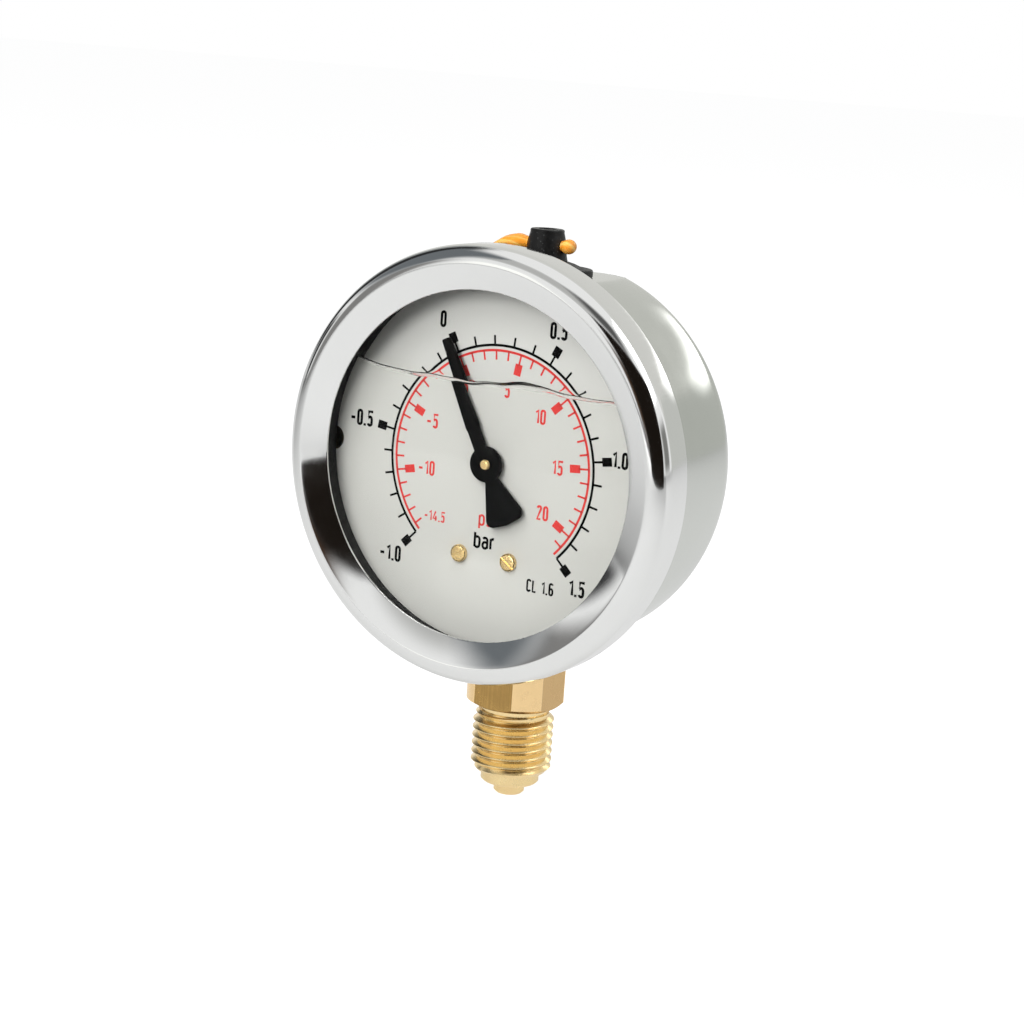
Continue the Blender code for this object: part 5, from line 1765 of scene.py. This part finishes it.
@dataclass
class ProcessStem:
    """Brass stem: spigot, guide, thread, flats and the block inside the case."""

    shop: Workshop
    spigot: float = 2.5
    spigot_chamfer: float = 0.4
    guide: float = 4.75
    guide_length: float = 2.0
    guide_chamfer: float = 0.35
    fillet: float = 0.15
    port: float = 1.5
    port_depth: float = 12.0
    port_chamfer: float = 0.25
    port_point: float = 0.8
    core: float = 5.42
    crest: float = 6.58
    thread_depth: float = 0.86
    pitch: float = 1.337
    thread_top: float = 11.9
    shoulder: float = 13.0
    across_flats: float = 14.0
    bar: float = 7.9
    cone_inset: float = 0.35
    cone_angle: float = 60.0
    neck: float = 6.5
    neck_reach: float = 26.0
    flats_reach: float = 31.3
    crest_rounding: float = 0.12
    thread_flare: Point = (0.03, 0.07)
    barrel: float = 28.8
    base_half: float = 6.5
    base_height: float = 6.0
    base_cuts: int = 24
    base_rounding: float = 0.25
    tower_half: float = 9.0
    tower_back: float = 6.2
    tower_front: float = -0.8
    tower_reach: float = 24.0
    tower_rounding: float = 0.3
    steps: int = 96

    def build(self) -> None:
        """Make every stretch of the stem."""
        self.build_core()
        self.build_thread()
        self.build_flats()
        self.build_block()

    def build_core(self) -> None:
        """Turned core with its spigot, guide, undercut, neck and port."""
        datum = self.shop.datum
        bottom = datum.bottom("stem")
        neck_top = datum.centre_height - self.neck_reach
        profile = [(0.0, neck_top), (self.neck, neck_top), (self.neck, self.shoulder + 0.5)]
        profile += [(self.core, self.shoulder + 0.5), (self.core, self.thread_top + 0.2)]
        profile += [(self.core - 0.05, self.thread_top), (self.core - 0.05, self.guide_length + 0.3)]
        edge, cut, fillet = self.guide_chamfer, self.spigot_chamfer, self.fillet
        profile += [(self.guide, self.guide_length + 0.05), (self.guide, edge), (self.guide - edge, 0.0)]
        profile += [(self.spigot + fillet, 0.0), (self.spigot, fillet), (self.spigot, bottom + cut)]
        profile += [(self.spigot - cut, bottom), (self.port + self.port_chamfer, bottom)]
        profile += [(self.port, bottom + self.port_chamfer), (self.port, self.port_depth)]
        profile += [(0.0, self.port_depth + self.port_point)]
        self.shop.publish(lathe(profile, self.steps), "stem_core", Finishes.STEM, Slot.BRASS, Place.ROW,
                          replaces=["stem"])

    def build_thread(self) -> None:
        """Helical thread with rounded crests, run out at both ends."""
        root = self.crest - self.thread_depth
        bottom = self.guide_length
        half = self.pitch / 2
        out, along = self.thread_flare
        profile = [(root, 0.0), (root + out, along)]
        profile += arc((self.crest - self.crest_rounding, half), self.crest_rounding, -60, 60, 4)
        profile += [(root + out, self.pitch - along), (root, self.pitch)]
        turns = math.ceil((self.thread_top - bottom) / self.pitch) + 2
        bm = bmesh.new()
        verts = [bm.verts.new((radius, 0.0, bottom - self.pitch + height)) for radius, height in profile]
        edges = [bm.edges.new(pair) for pair in zip(verts, verts[1:])]
        per_turn = self.steps // 2
        bmesh.ops.spin(bm, geom=verts + edges, cent=(0, 0, 0), axis=(0, 0, 1), angle=math.tau * turns,
                       dvec=(0.0, 0.0, self.pitch / per_turn), steps=per_turn * turns, use_duplicate=False)
        bmesh.ops.remove_doubles(bm, verts=bm.verts, dist=0.004)
        for height, side in ((bottom, -1.0), (self.thread_top, 1.0)):
            everything = [*bm.verts, *bm.edges, *bm.faces]
            bmesh.ops.bisect_plane(bm, geom=everything, plane_co=(0.0, 0.0, height),
                                   plane_no=(0.0, 0.0, side), clear_outer=True)
        for vert in bm.verts:
            gap = min(vert.co.z - bottom, self.thread_top - vert.co.z)
            limit = max(root, root + gap - 0.05)
            if math.hypot(vert.co.x, vert.co.y) > limit:
                draw_in(vert, limit)
        for height in (bottom, self.thread_top):
            rim = [edge for edge in bm.edges if edge.is_boundary
                   and all(abs(vert.co.z - height) < 0.01 for vert in edge.verts)]
            for vert in made_verts(bmesh.ops.extrude_edge_only(bm, edges=rim)):
                draw_in(vert, self.core - 0.3)
        tidy(bm)
        self.shop.publish(bm, "stem_thread", Finishes.STEM, Slot.BRASS, Place.ROW, replaces=["stem"])

    def build_flats(self) -> None:
        """Round bar milled to a square, its lower edge turned to a cone."""
        half = self.across_flats / 2
        top = self.shop.datum.centre_height - self.flats_reach
        inner = half - self.cone_inset
        foot = self.shoulder + (self.bar - inner) / math.tan(math.radians(self.cone_angle))
        profile = [(0.0, self.shoulder), (inner, self.shoulder), (self.bar, foot)]
        profile += [(self.bar, top), (0.0, top)]
        bm = lathe(profile, 2 * self.steps)
        for turn in range(4):
            side = Matrix.Rotation(turn * math.pi / 2, 3, "Z") @ Vector((1.0, 0.0, 0.0))
            cut = bmesh.ops.bisect_plane(bm, geom=[*bm.verts, *bm.edges, *bm.faces], plane_co=side * half,
                                         plane_no=side, clear_outer=True)
            rim = [item for item in cut["geom_cut"] if isinstance(item, bmesh.types.BMEdge)]
            bmesh.ops.contextual_create(bm, geom=rim)
        tidy(bm)
        self.shop.publish(bm, "stem_flats", Finishes.FLATS, Slot.BRASS, Place.ROW, replaces=["stem"],
                          sharp=math.radians(20))

    def build_block(self) -> None:
        """Block inside the case that carries the tube and the movement."""
        datum = self.shop.datum
        middle = datum.centre_height
        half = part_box("stem")[1].x / MM
        base = box((-half, -self.base_half, 0.0), (half, self.base_half, self.base_height))
        rows = [edge for edge in base.edges if abs(edge.verts[0].co.x - edge.verts[1].co.x) > 1.0]
        bmesh.ops.subdivide_edges(base, edges=rows, cuts=self.base_cuts, use_grid_fill=True)
        for vert in base.verts:
            bottom = middle - math.sqrt(self.barrel ** 2 - vert.co.x ** 2)
            vert.co.z = bottom if vert.co.z < 1.0 else middle - self.barrel + self.base_height
        soften(base, self.base_rounding)
        tower = box((-self.tower_half, self.tower_front, middle - self.tower_reach),
                    (self.tower_half, self.tower_back, datum.top("stem")))
        soften(tower, self.tower_rounding)
        self.shop.publish(joined([base, tower]), "stem_block", Finishes.FLATS, Slot.BRASS, Place.ROW,
                          replaces=["stem"])


@dataclass
class StemFastening:
    """Screws that hold the stem in the case, and the gasket between them."""

    shop: Workshop
    seat: float = 31.2
    head: float = 2.2
    head_height: float = 1.2
    rounding: float = 0.6
    shank: float = 1.1
    length: float = 6.0
    slot_half: float = 0.31
    slot_floor: float = 0.66

    def build(self) -> None:
        """Make both screws and dress the gasket."""
        for side in Side:
            self.build_screw(side)
        self.shop.dress(["stem_gasket"], Finishes.SEAL)

    def build_screw(self, side: Side) -> None:
        """Pan-head slotted screw on one side, which points at the dial axis.

        Args:
            side: Which of the two screws.
        """
        node = "stem_screw_" + side.name.lower()
        across, above = self.shop.datum.middle(node)
        corner = (self.head - self.rounding, self.head_height - self.rounding)
        profile = [(0.0, self.head_height)] + arc(corner, self.rounding, 85, 0, 6)
        profile += [(self.head, 0.05), (self.head - 0.05, 0.0), (self.shank, 0.0)]
        profile += [(self.shank, 0.4 - self.length), (self.shank - 0.3, -self.length), (0.0, -self.length)]
        slot = box((-4.0, -self.slot_half, self.slot_floor), (4.0, self.slot_half, 3.0))
        bm = carve(lathe(profile, 40), [slot])
        place = Matrix.Rotation(math.atan2(across, -above), 4, "Z")
        place = place @ Matrix.Translation((0.0, -self.seat, 0.0)) @ Matrix.Rotation(math.pi / 2, 4, "X")
        bmesh.ops.transform(bm, matrix=place, verts=bm.verts)
        self.shop.publish(bm, node + "_pan", Finishes.SCREW, Slot.STEEL, Place.DIAL, replaces=[node])


@dataclass
class VentPlug:
    """Rubber plug on top of the case, with its turret and its lever."""

    shop: Workshop
    flange: float = 8.1
    thickness: float = 1.15
    boss: float = 1.9
    rounding: float = 0.3
    narrowing: float = 0.34
    neck: float = 4.4
    seat: float = 28.95
    turret_base: float = 3.45
    turret_top: float = 2.7
    wall: float = 0.9
    lip_height: float = 1.5
    lip_width: float = 0.9
    bore: float = 2.15
    lever_drop: float = 2.45
    recess: float = 1.45
    spindle: float = 2.0
    paddle_start: float = -4.0
    ridge_height: float = 0.09
    ridge_rate: float = 6.0
    ridge_below: float = 0.3
    lever_sides: int = 36
    steps: int = 72

    RECESS: ClassVar[tuple[Point, ...]] = ((-0.25, 0.8), (-0.05, 0.6))
    RIM: ClassVar[tuple[Point, ...]] = ((-0.02, 0.5), (0.08, 0.9), (0.30, 1.8))
    FOOT: ClassVar[tuple[Point, ...]] = ((-0.18, 0.9), (-0.06, 0.35), (0.0, 0.15), (-0.1, 0.0))
    KNOB: ClassVar[tuple[float, ...]] = (4.0, 1.13, 1.55, 1.16, 0.02)
    KNOB_ANGLES: ClassVar[tuple[int, ...]] = (86, 75, 62, 48, 32, 14, -4, -22, -40)
    ROD: ClassVar[tuple[Station, ...]] = (
        (2.9, 0.95, 0.85, 0.0), (2.2, 0.9, 0.85, 0.0), (-2.9, 0.9, 0.85, 0.0), (-3.4, 1.1, 0.88, 0.05))
    PADDLE: ClassVar[tuple[Station, ...]] = (
        (-4.0, 1.55, 1.05, 0.06), (-4.7, 1.95, 1.20, 0.00), (-5.4, 2.12, 1.18, 0.00),
        (-6.3, 2.18, 1.02, -0.06), (-7.2, 2.15, 0.82, -0.20), (-8.0, 2.02, 0.60, -0.42),
        (-8.7, 1.78, 0.40, -0.66), (-9.2, 1.45, 0.22, -0.86), (-9.45, 1.05, 0.10, -1.02))

    def build(self) -> None:
        """Make plug, turret and lever."""
        self.build_plug()
        self.build_turret()
        self.build_lever()

    def build_plug(self) -> None:
        """Oblong flange on its seat, the neck through the case and the lip inside."""
        inner = self.bore
        rim = self.flange - self.rounding
        profile = [(inner, self.boss), (self.turret_base + 0.3, self.boss)]
        profile += [(self.neck + 0.3, self.boss - 0.25), (self.neck + 1.6, self.thickness + 0.1)]
        profile += [(rim - 0.6, self.thickness)]
        profile += arc((rim, self.thickness - self.rounding), self.rounding, 90, 0, 6)
        profile += [(self.flange, 0.1), (self.flange - 0.1, 0.0), (self.neck, 0.0), (inner, 0.0)]
        flange = lathe(profile, self.steps, closed=True)
        for vert in flange.verts:
            spread = max(0.0, math.hypot(vert.co.x, vert.co.y) - self.neck) / (self.flange - self.neck)
            vert.co.y *= 1.0 - self.narrowing * spread
            vert.co.z += self.seat
        bottom = self.seat - self.wall - self.lip_height
        lip = self.neck + self.lip_width
        top = self.seat + 0.3
        profile = [(inner, top), (self.neck, top), (self.neck, bottom + 0.85), (lip - 0.2, bottom + 0.75)]
        profile += [(lip, bottom + 0.55), (lip - 0.3, bottom), (inner, bottom)]
        collar = lathe(profile, self.steps, closed=True)
        self.shop.publish(joined([flange, collar]), "plug_saddle", Finishes.PLUG, Slot.RUBBER, Place.VENT,
                          replaces=["vent_plug"])

    def build_turret(self) -> None:
        """Tapered turret with a rolled rim and a recess in its top."""
        datum = self.shop.datum
        top = datum.top("vent_turret") - datum.centre_height
        low = self.seat + self.boss + 0.05
        foot = datum.bottom("vent_turret") - datum.centre_height
        profile = [(0.0, top - 0.75)] + [(self.recess + out, top - down) for out, down in self.RECESS]
        profile += arc((self.recess + 0.15, top - 0.15), 0.15, 180, 90, 4)
        profile += arc((self.turret_top - 0.30, top - 0.30), 0.30, 90, 10, 6)
        profile += [(self.turret_top + out, top - down) for out, down in self.RIM]
        profile += [(self.turret_base + out, low + up) for out, up in self.FOOT]
        profile += [(self.spindle, low)]
        profile += [(self.spindle, foot + 0.2), (self.spindle - 0.2, foot), (0.0, foot)]
        self.shop.publish(lathe(profile, self.steps), "plug_turret", Finishes.TURRET, Slot.RUBBER, Place.VENT,
                          body=Body.VENT, replaces=["vent_turret"])

    def build_lever(self) -> None:
        """Lever with an egg-shaped knob on the right and a ridged paddle on the left."""
        datum = self.shop.datum
        axis = datum.top("vent_turret") - datum.centre_height - self.lever_drop
        stations = [self.section(*station) for station in self.stations()]
        bm = loft(stations, self.lever_sides)
        for vert in bm.verts:
            share = min(1.0, max(0.0, self.paddle_start - vert.co.x))
            share *= 1.0 if vert.co.z > 0 else self.ridge_below
            vert.co.z += self.ridge_height * share * math.sin(vert.co.y * self.ridge_rate)
        bmesh.ops.translate(bm, verts=bm.verts, vec=(0.0, 0.0, axis))
        self.shop.publish(bm, "lever_moulding", Finishes.LEVER, Slot.LEVER, Place.VENT, body=Body.VENT,
                          replaces=["vent_lever"], sharp=math.radians(60))

    def stations(self) -> list[Station]:
        """Sections of the lever: place, half width, half height and rise of its middle.

        Returns:
            The sections from the knob to the paddle's end.
        """
        middle, length, wide, tall, least = self.KNOB
        knob = []
        for angle in map(math.radians, self.KNOB_ANGLES):
            size = math.cos(angle)
            knob.append((middle + length * math.sin(angle), wide * size + least, tall * size + least, 0.0))
        return [*knob, *self.ROD, *self.PADDLE]

    def section(self, x: float, half_width: float, half_height: float, rise: float) -> Matrix:
        """Placement of a unit circle as one section of the lever.

        Args:
            x: Place along the lever.
            half_width: Half its width.
            half_height: Half its height.
            rise: Height of its middle.

        Returns:
            The matrix.
        """
        upright = Matrix.Rotation(math.pi / 2, 4, "Y")
        shape = Matrix.Diagonal((1.0, half_width, half_height, 1.0))
        return Matrix.Translation((x, 0.0, rise)) @ shape @ upright


@dataclass
class InnerWorks:
    """Tube and movement behind the dial; the movement keeps its CAD shapes."""

    shop: Workshop
    tube_radius: float = 22.0
    tube_half_depth: float = 1.3
    root_angle: float = 254.0
    end_angle: float = -13.0
    bend_start: float = 0.2
    bend_end: float = 0.93
    sides: int = 28
    steps: int = 120

    BRASS: ClassVar[tuple[str, ...]] = (
        "dial_post_left", "dial_post_right", "pinion_arbor", "hairspring_collet", "hairspring_stud",
        "segment_gear", "segment_arbor", "tail_pin", "tip_pin", "link_bar", "tube_end_piece",
        "movement_front_plate", "movement_back_plate", "pillar_upper", "pillar_left")
    STEEL: ClassVar[tuple[str, ...]] = (
        "pillar_screw_upper", "pillar_screw_left", "foot_screw_upper", "foot_screw_lower")

    def build(self) -> None:
        """Make the tube and dress the rest."""
        self.build_tube()
        self.shop.dress(self.BRASS, Finishes.MOVEMENT)
        self.shop.dress(self.STEEL, Finishes.SCREW)
        self.shop.dress(["hairspring"], Finishes.SPRING)

    def build_tube(self) -> None:
        """Flattened tube in an arc, fixed in the row frame; its free end doesn't follow the tube's end piece.
        """
        datum = self.shop.datum
        front, back = datum.front("bourdon_tube"), datum.back("bourdon_tube")
        start, end = math.radians(self.root_angle), math.radians(self.end_angle)
        section = Matrix.Translation((self.tube_radius, 0.0, (front + back) / 2))
        section = section @ Matrix.Diagonal((self.tube_half_depth, 1.0, (front - back) / 2, 1.0))
        section = Matrix.Rotation(start, 4, "Z") @ section @ Matrix.Rotation(math.pi / 2, 4, "X")
        bm = bmesh.new()
        made = bmesh.ops.create_circle(bm, cap_ends=True, radius=1.0, segments=self.sides, matrix=section)
        bmesh.ops.spin(bm, geom=made["verts"][0].link_faces[:], cent=(0, 0, 0), axis=(0, 0, 1),
                       angle=end - start, steps=self.steps, use_duplicate=False)
        tidy(bm)
        along = Vector((math.cos(end), math.sin(end), 0.0)) * self.tube_radius
        self.shop.publish(bm, "tube_arc", Finishes.TUBE, Slot.TUBE, Place.DIAL, replaces=["bourdon_tube"],
                          bend=[along * self.bend_start, along * self.bend_end])


@dataclass(frozen=True)
class Card:
    """Soft-edged card that only reflections see."""

    name: str
    azimuth: float
    elevation: float
    distance: float
    width: float
    height: float
    colour: Colour
    roll: float = 0.0
    softness: float = 0.18


@dataclass(frozen=True)
class Lamp:
    """Soft box that faces the gauge."""

    name: str
    azimuth: float
    elevation: float
    width: float
    height: float
    power: float
    mirrored: bool = True
    distance: float = 1.0


@dataclass
class Studio:
    """Floor, soft light, cards for the metal and the photograph's camera."""

    shop: Workshop
    azimuth: float = 30.357
    elevation: float = 11.186
    roll: float = 3.925
    distance: float = 361.257
    focal_pixels: float = 2398.09
    frame_pixels: float = 1024.0
    sensor: float = 36.0
    aim: tuple[float, float, float] = (8.759, -20.0, 48.737)
    floor_gap: float = 0.05
    floor_size: float = 6.0
    floor_light: tuple[float, float, float] = (0.0, -0.08, -0.017)
    floor_tone: Colour = (0.42, 0.42, 0.42)
    floor_fade: Point = (0.06, 0.40)
    floor_front: Point = (0.56, 0.26)
    floor_turn: Point = (-0.03, 0.05)
    floor_rear: float = 0.55
    floor_white: float = 0.92
    world_tone: Colour = (0.98, 0.99, 1.0)
    world_strength: float = 0.16
    clip: Point = (0.01, 50.0)
    lamps: tuple[Lamp, ...] = (
        Lamp("key_box", -8.0, 34.0, 0.45, 0.40, 3.0, mirrored=False),
        Lamp("side_box", 104.0, 45.0, 0.5, 0.6, 2.5),
        Lamp("top_box", 15.0, 76.0, 0.5, 0.5, 3.6, mirrored=False),
        Lamp("front_fill", 4.0, 13.0, 0.3, 0.3, 5.6, mirrored=False),
    )
    cards: tuple[Card, ...] = (
        Card("camera_side", 44.0, 18.0, 0.5, 0.76, 0.50, (0.012, 0.009, 0.007), softness=0.08),
        Card("camera_edge", 5.0, 9.0, 0.85, 0.36, 0.46, (0.06, 0.034, 0.022), softness=0.35),
        Card("front_top", 33.0, 53.0, 0.9, 0.85, 0.50, (0.11, 0.11, 0.11), softness=0.35),
        Card("front_grey", -15.0, 47.0, 0.95, 0.85, 0.60, (0.56, 0.56, 0.55), softness=0.25),
        Card("front_pane", -28.0, 6.0, 0.95, 0.22, 0.46, (1.30, 1.30, 1.26), softness=0.30),
        Card("left_low", -53.0, 9.0, 1.0, 0.70, 0.56, (0.26, 0.255, 0.25), softness=0.25),
        Card("left_gap", -83.0, 6.0, 0.9, 0.36, 0.30, (0.025, 0.025, 0.027), softness=0.30),
        Card("left_near", -66.0, 40.0, 0.9, 1.00, 0.85, (0.17, 0.185, 0.20), softness=0.25),
        Card("left_far", -103.0, 31.0, 0.95, 0.46, 1.25, (0.03, 0.031, 0.033)),
        Card("left_back", -121.0, 32.0, 1.0, 0.34, 1.10, (0.32, 0.33, 0.33), softness=0.25),
        Card("right_low", 103.0, 10.0, 1.0, 0.85, 0.46, (0.24, 0.24, 0.23), softness=0.30),
        Card("rear_wall", 182.0, 33.0, 1.1, 2.6, 1.6, (0.74, 0.74, 0.71)),
        Card("rear_strip", 172.0, 18.8, 0.9, 0.50, 0.14, (2.8, 2.8, 2.75), roll=14.0, softness=0.3),
        Card("rear_grey", 171.0, 7.4, 1.12, 2.00, 0.46, (0.62, 0.63, 0.60)),
    )

    def build(self) -> None:
        """Set up the stage."""
        self.build_world()
        self.build_floor()
        for lamp in self.lamps:
            self.build_lamp(lamp)
        for card in self.cards:
            self.build_card(card)
        self.build_camera()
        bpy.context.scene.view_settings.view_transform = "Standard"

    def seen(self, pen: NodePen) -> Socket:
        """One for camera, glossy and transmission rays, and zero for the rest.

        Args:
            pen: Pen of the material or world.

        Returns:
            The share.
        """
        path = pen.node("ShaderNodeLightPath").outputs
        bright = pen.math("MAXIMUM", path["Is Camera Ray"], path["Is Glossy Ray"])
        return pen.math("MAXIMUM", bright, path["Is Transmission Ray"])

    def blank(self, owner: bpy.types.Material | bpy.types.World) -> NodePen:
        """Pen for a material or a world whose nodes are cleared.

        Args:
            owner: The material or world.

        Returns:
            The pen.
        """
        owner.use_nodes = True
        owner.node_tree.nodes.clear()
        return NodePen(owner.node_tree)

    def staged(self, bm: BMesh, name: str, material: bpy.types.Material) -> bpy.types.Object:
        """Object of the stage, made from a mesh, which is used up, and a material.

        Args:
            bm: The mesh.
            name: Name of the object.
            material: Its material.

        Returns:
            The object.
        """
        obj = placed(name, as_mesh(bm, name))
        obj.data.materials.append(material)
        return obj

    def build_world(self) -> None:
        """White surroundings that light the gauge softly."""
        world = bpy.data.worlds.new("studio")
        bpy.context.scene.world = world
        pen = self.blank(world)
        dim = {"Color": (*self.world_tone, 1.0), "Strength": self.world_strength}
        soft = pen.node("ShaderNodeBackground", dim).outputs[0]
        white = pen.node("ShaderNodeBackground", {"Color": WHITE, "Strength": 1.0}).outputs[0]
        mixed = pen.node("ShaderNodeMixShader", {0: self.seen(pen), 1: soft, 2: white}).outputs[0]
        pen.node("ShaderNodeOutputWorld", {"Surface": mixed})

    def build_floor(self) -> None:
        """Pale floor that keeps a soft shadow."""
        bm = bmesh.new()
        bmesh.ops.create_grid(bm, x_segments=1, y_segments=1, size=self.floor_size)
        low = (self.shop.datum.bottom("stem") - self.floor_gap) * MM
        bmesh.ops.translate(bm, verts=bm.verts, vec=(0.0, 0.0, low))
        material = bpy.data.materials.new("floor_white")
        pen = self.blank(material)
        matt = pen.node("ShaderNodeBsdfDiffuse", {"Color": (*self.floor_tone, 1.0)}).outputs[0]
        glow = pen.node("ShaderNodeEmission", {"Color": WHITE, "Strength": self.floor_glow(pen)}).outputs[0]
        lifted = pen.node("ShaderNodeAddShader", {0: matt, 1: glow}).outputs[0]
        mixed = pen.node("ShaderNodeMixShader", {0: self.seen(pen), 1: matt, 2: lifted}).outputs[0]
        pen.node("ShaderNodeOutputMaterial", {"Surface": mixed})
        self.staged(bm, "floor", material)

    def floor_glow(self, pen: NodePen) -> Socket:
        """Light of the floor: white to the camera, and graded in what the metal mirrors.

        Args:
            pen: Pen of the floor's material.

        Returns:
            Strength of the light.
        """
        place = pen.node("ShaderNodeTexCoord").outputs["Object"]
        gap = pen.node("ShaderNodeVectorMath", {0: place, 1: self.floor_light}, operation="DISTANCE")
        front = pen.span(gap.outputs["Value"], self.floor_fade, self.floor_front)
        depth = pen.node("ShaderNodeSeparateXYZ", {"Vector": place}).outputs["Y"]
        behind = pen.span(depth, self.floor_turn)
        rear = pen.math("MULTIPLY", behind, pen.math("SUBTRACT", self.floor_rear, front))
        camera = pen.node("ShaderNodeLightPath").outputs["Is Camera Ray"]
        white = pen.math("MULTIPLY", camera, self.floor_white)
        return pen.math("MAXIMUM", pen.math("ADD", front, rear), white)

    def direction(self, azimuth: float, elevation: float) -> Vector:
        """Unit vector at degrees to the right of straight in front and above the horizon."""
        turn, lift = math.radians(azimuth), math.radians(elevation)
        return Vector((math.sin(turn) * math.cos(lift), -math.cos(turn) * math.cos(lift), math.sin(lift)))

    def spot(self, azimuth: float, elevation: float, distance: float) -> Matrix:
        """Placement in a direction, whose -Z points at the gauge.

        Args:
            azimuth: Degrees to the right of straight in front.
            elevation: Degrees above the horizon.
            distance: Metres from the dial axis.

        Returns:
            The matrix.
        """
        away = self.direction(azimuth, elevation)
        centre = Vector((0.0, 0.0, self.shop.datum.centre_height * MM))
        facing = (-away).to_track_quat("-Z", "Y").to_matrix().to_4x4()
        return Matrix.Translation(centre + away * distance) @ facing

    def build_lamp(self, lamp: Lamp) -> None:
        """Area light of a soft box.

        Args:
            lamp: The soft box.
        """
        light = bpy.data.lights.new(lamp.name, "AREA")
        light.shape = "RECTANGLE"
        light.size = lamp.width
        light.size_y = lamp.height
        light.energy = lamp.power
        obj = placed(lamp.name, light)
        obj.matrix_world = self.spot(lamp.azimuth, lamp.elevation, lamp.distance)
        obj.visible_glossy = lamp.mirrored

    def build_card(self, card: Card) -> None:
        """Card that shows in polished metal alone, and fades out at its edges.

        Args:
            card: The card.
        """
        bm = bmesh.new()
        bm.loops.layers.uv.new("card")
        shape = Matrix.Rotation(math.radians(card.roll), 4, "Z")
        shape = shape @ Matrix.Diagonal((card.width / 2, card.height / 2, 1.0, 1.0))
        bmesh.ops.create_grid(bm, x_segments=1, y_segments=1, size=1.0, calc_uvs=True,
                              matrix=self.spot(card.azimuth, card.elevation, card.distance) @ shape)
        material = bpy.data.materials.new(card.name)
        pen = self.blank(material)
        place = pen.node("ShaderNodeTexCoord").outputs["UV"]
        parts = pen.node("ShaderNodeSeparateXYZ", {"Vector": place}).outputs
        edges = [pen.math("PINGPONG", parts[axis], 0.5) for axis in "XY"]
        fades = [pen.span(edge, (0.0, card.softness)) for edge in edges]
        share = pen.math("MULTIPLY", *fades)
        paper = pen.node("ShaderNodeEmission", {"Color": (*card.colour, 1.0), "Strength": 1.0}).outputs[0]
        clear = pen.node("ShaderNodeBsdfTransparent").outputs[0]
        mixed = pen.node("ShaderNodeMixShader", {0: share, 1: clear, 2: paper}).outputs[0]
        pen.node("ShaderNodeOutputMaterial", {"Surface": mixed})
        obj = self.staged(bm, card.name, material)
        obj.visible_camera = False
        obj.visible_diffuse = False
        obj.visible_transmission = False
        obj.visible_shadow = False

    def build_camera(self) -> None:
        """Camera at the photograph's viewing angle."""
        turn, roll = math.radians(self.azimuth), math.radians(self.roll)
        away = self.direction(self.azimuth, self.elevation)
        level = Vector((math.cos(turn), math.sin(turn), 0.0))
        upright = away.cross(level)
        right = math.cos(roll) * level + math.sin(roll) * upright
        up = math.cos(roll) * upright - math.sin(roll) * level
        camera = bpy.data.cameras.new("camera")
        camera.sensor_width = self.sensor
        camera.lens = self.focal_pixels * self.sensor / self.frame_pixels
        camera.clip_start, camera.clip_end = self.clip
        obj = placed("camera", camera)
        place = Matrix((right, up, away)).transposed().to_4x4()
        place.translation = (Vector(self.aim) + away * self.distance) * MM
        obj.matrix_world = place
        bpy.context.scene.camera = obj


def clear_scene() -> None:
    """Remove what a new Blender file holds."""
    for obj in list(bpy.data.objects):
        bpy.data.objects.remove(obj, do_unlink=True)


def corners(bounds: tuple[Vector, Vector]) -> list[list[float]]:
    """Box as plain lists of numbers."""
    return [list(corner) for corner in bounds]


def main() -> None:
    """Build every sub-assembly round the frame and set the stage."""
    logging.basicConfig(level=logging.INFO, format="%(message)s")
    clear_scene()
    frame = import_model()
    shop = Workshop(Datum(), frame["nodes"])
    assemblies = (CaseCup, CrimpRing, FrontGlazing, DialFace, Pointer, ProcessStem, StemFastening, VentPlug,
                  InnerWorks, Studio)
    for assembly in assemblies:
        assembly(shop).build()
        LOG.info("%s built", assembly.__name__)


if __name__ == "__main__":
    main()
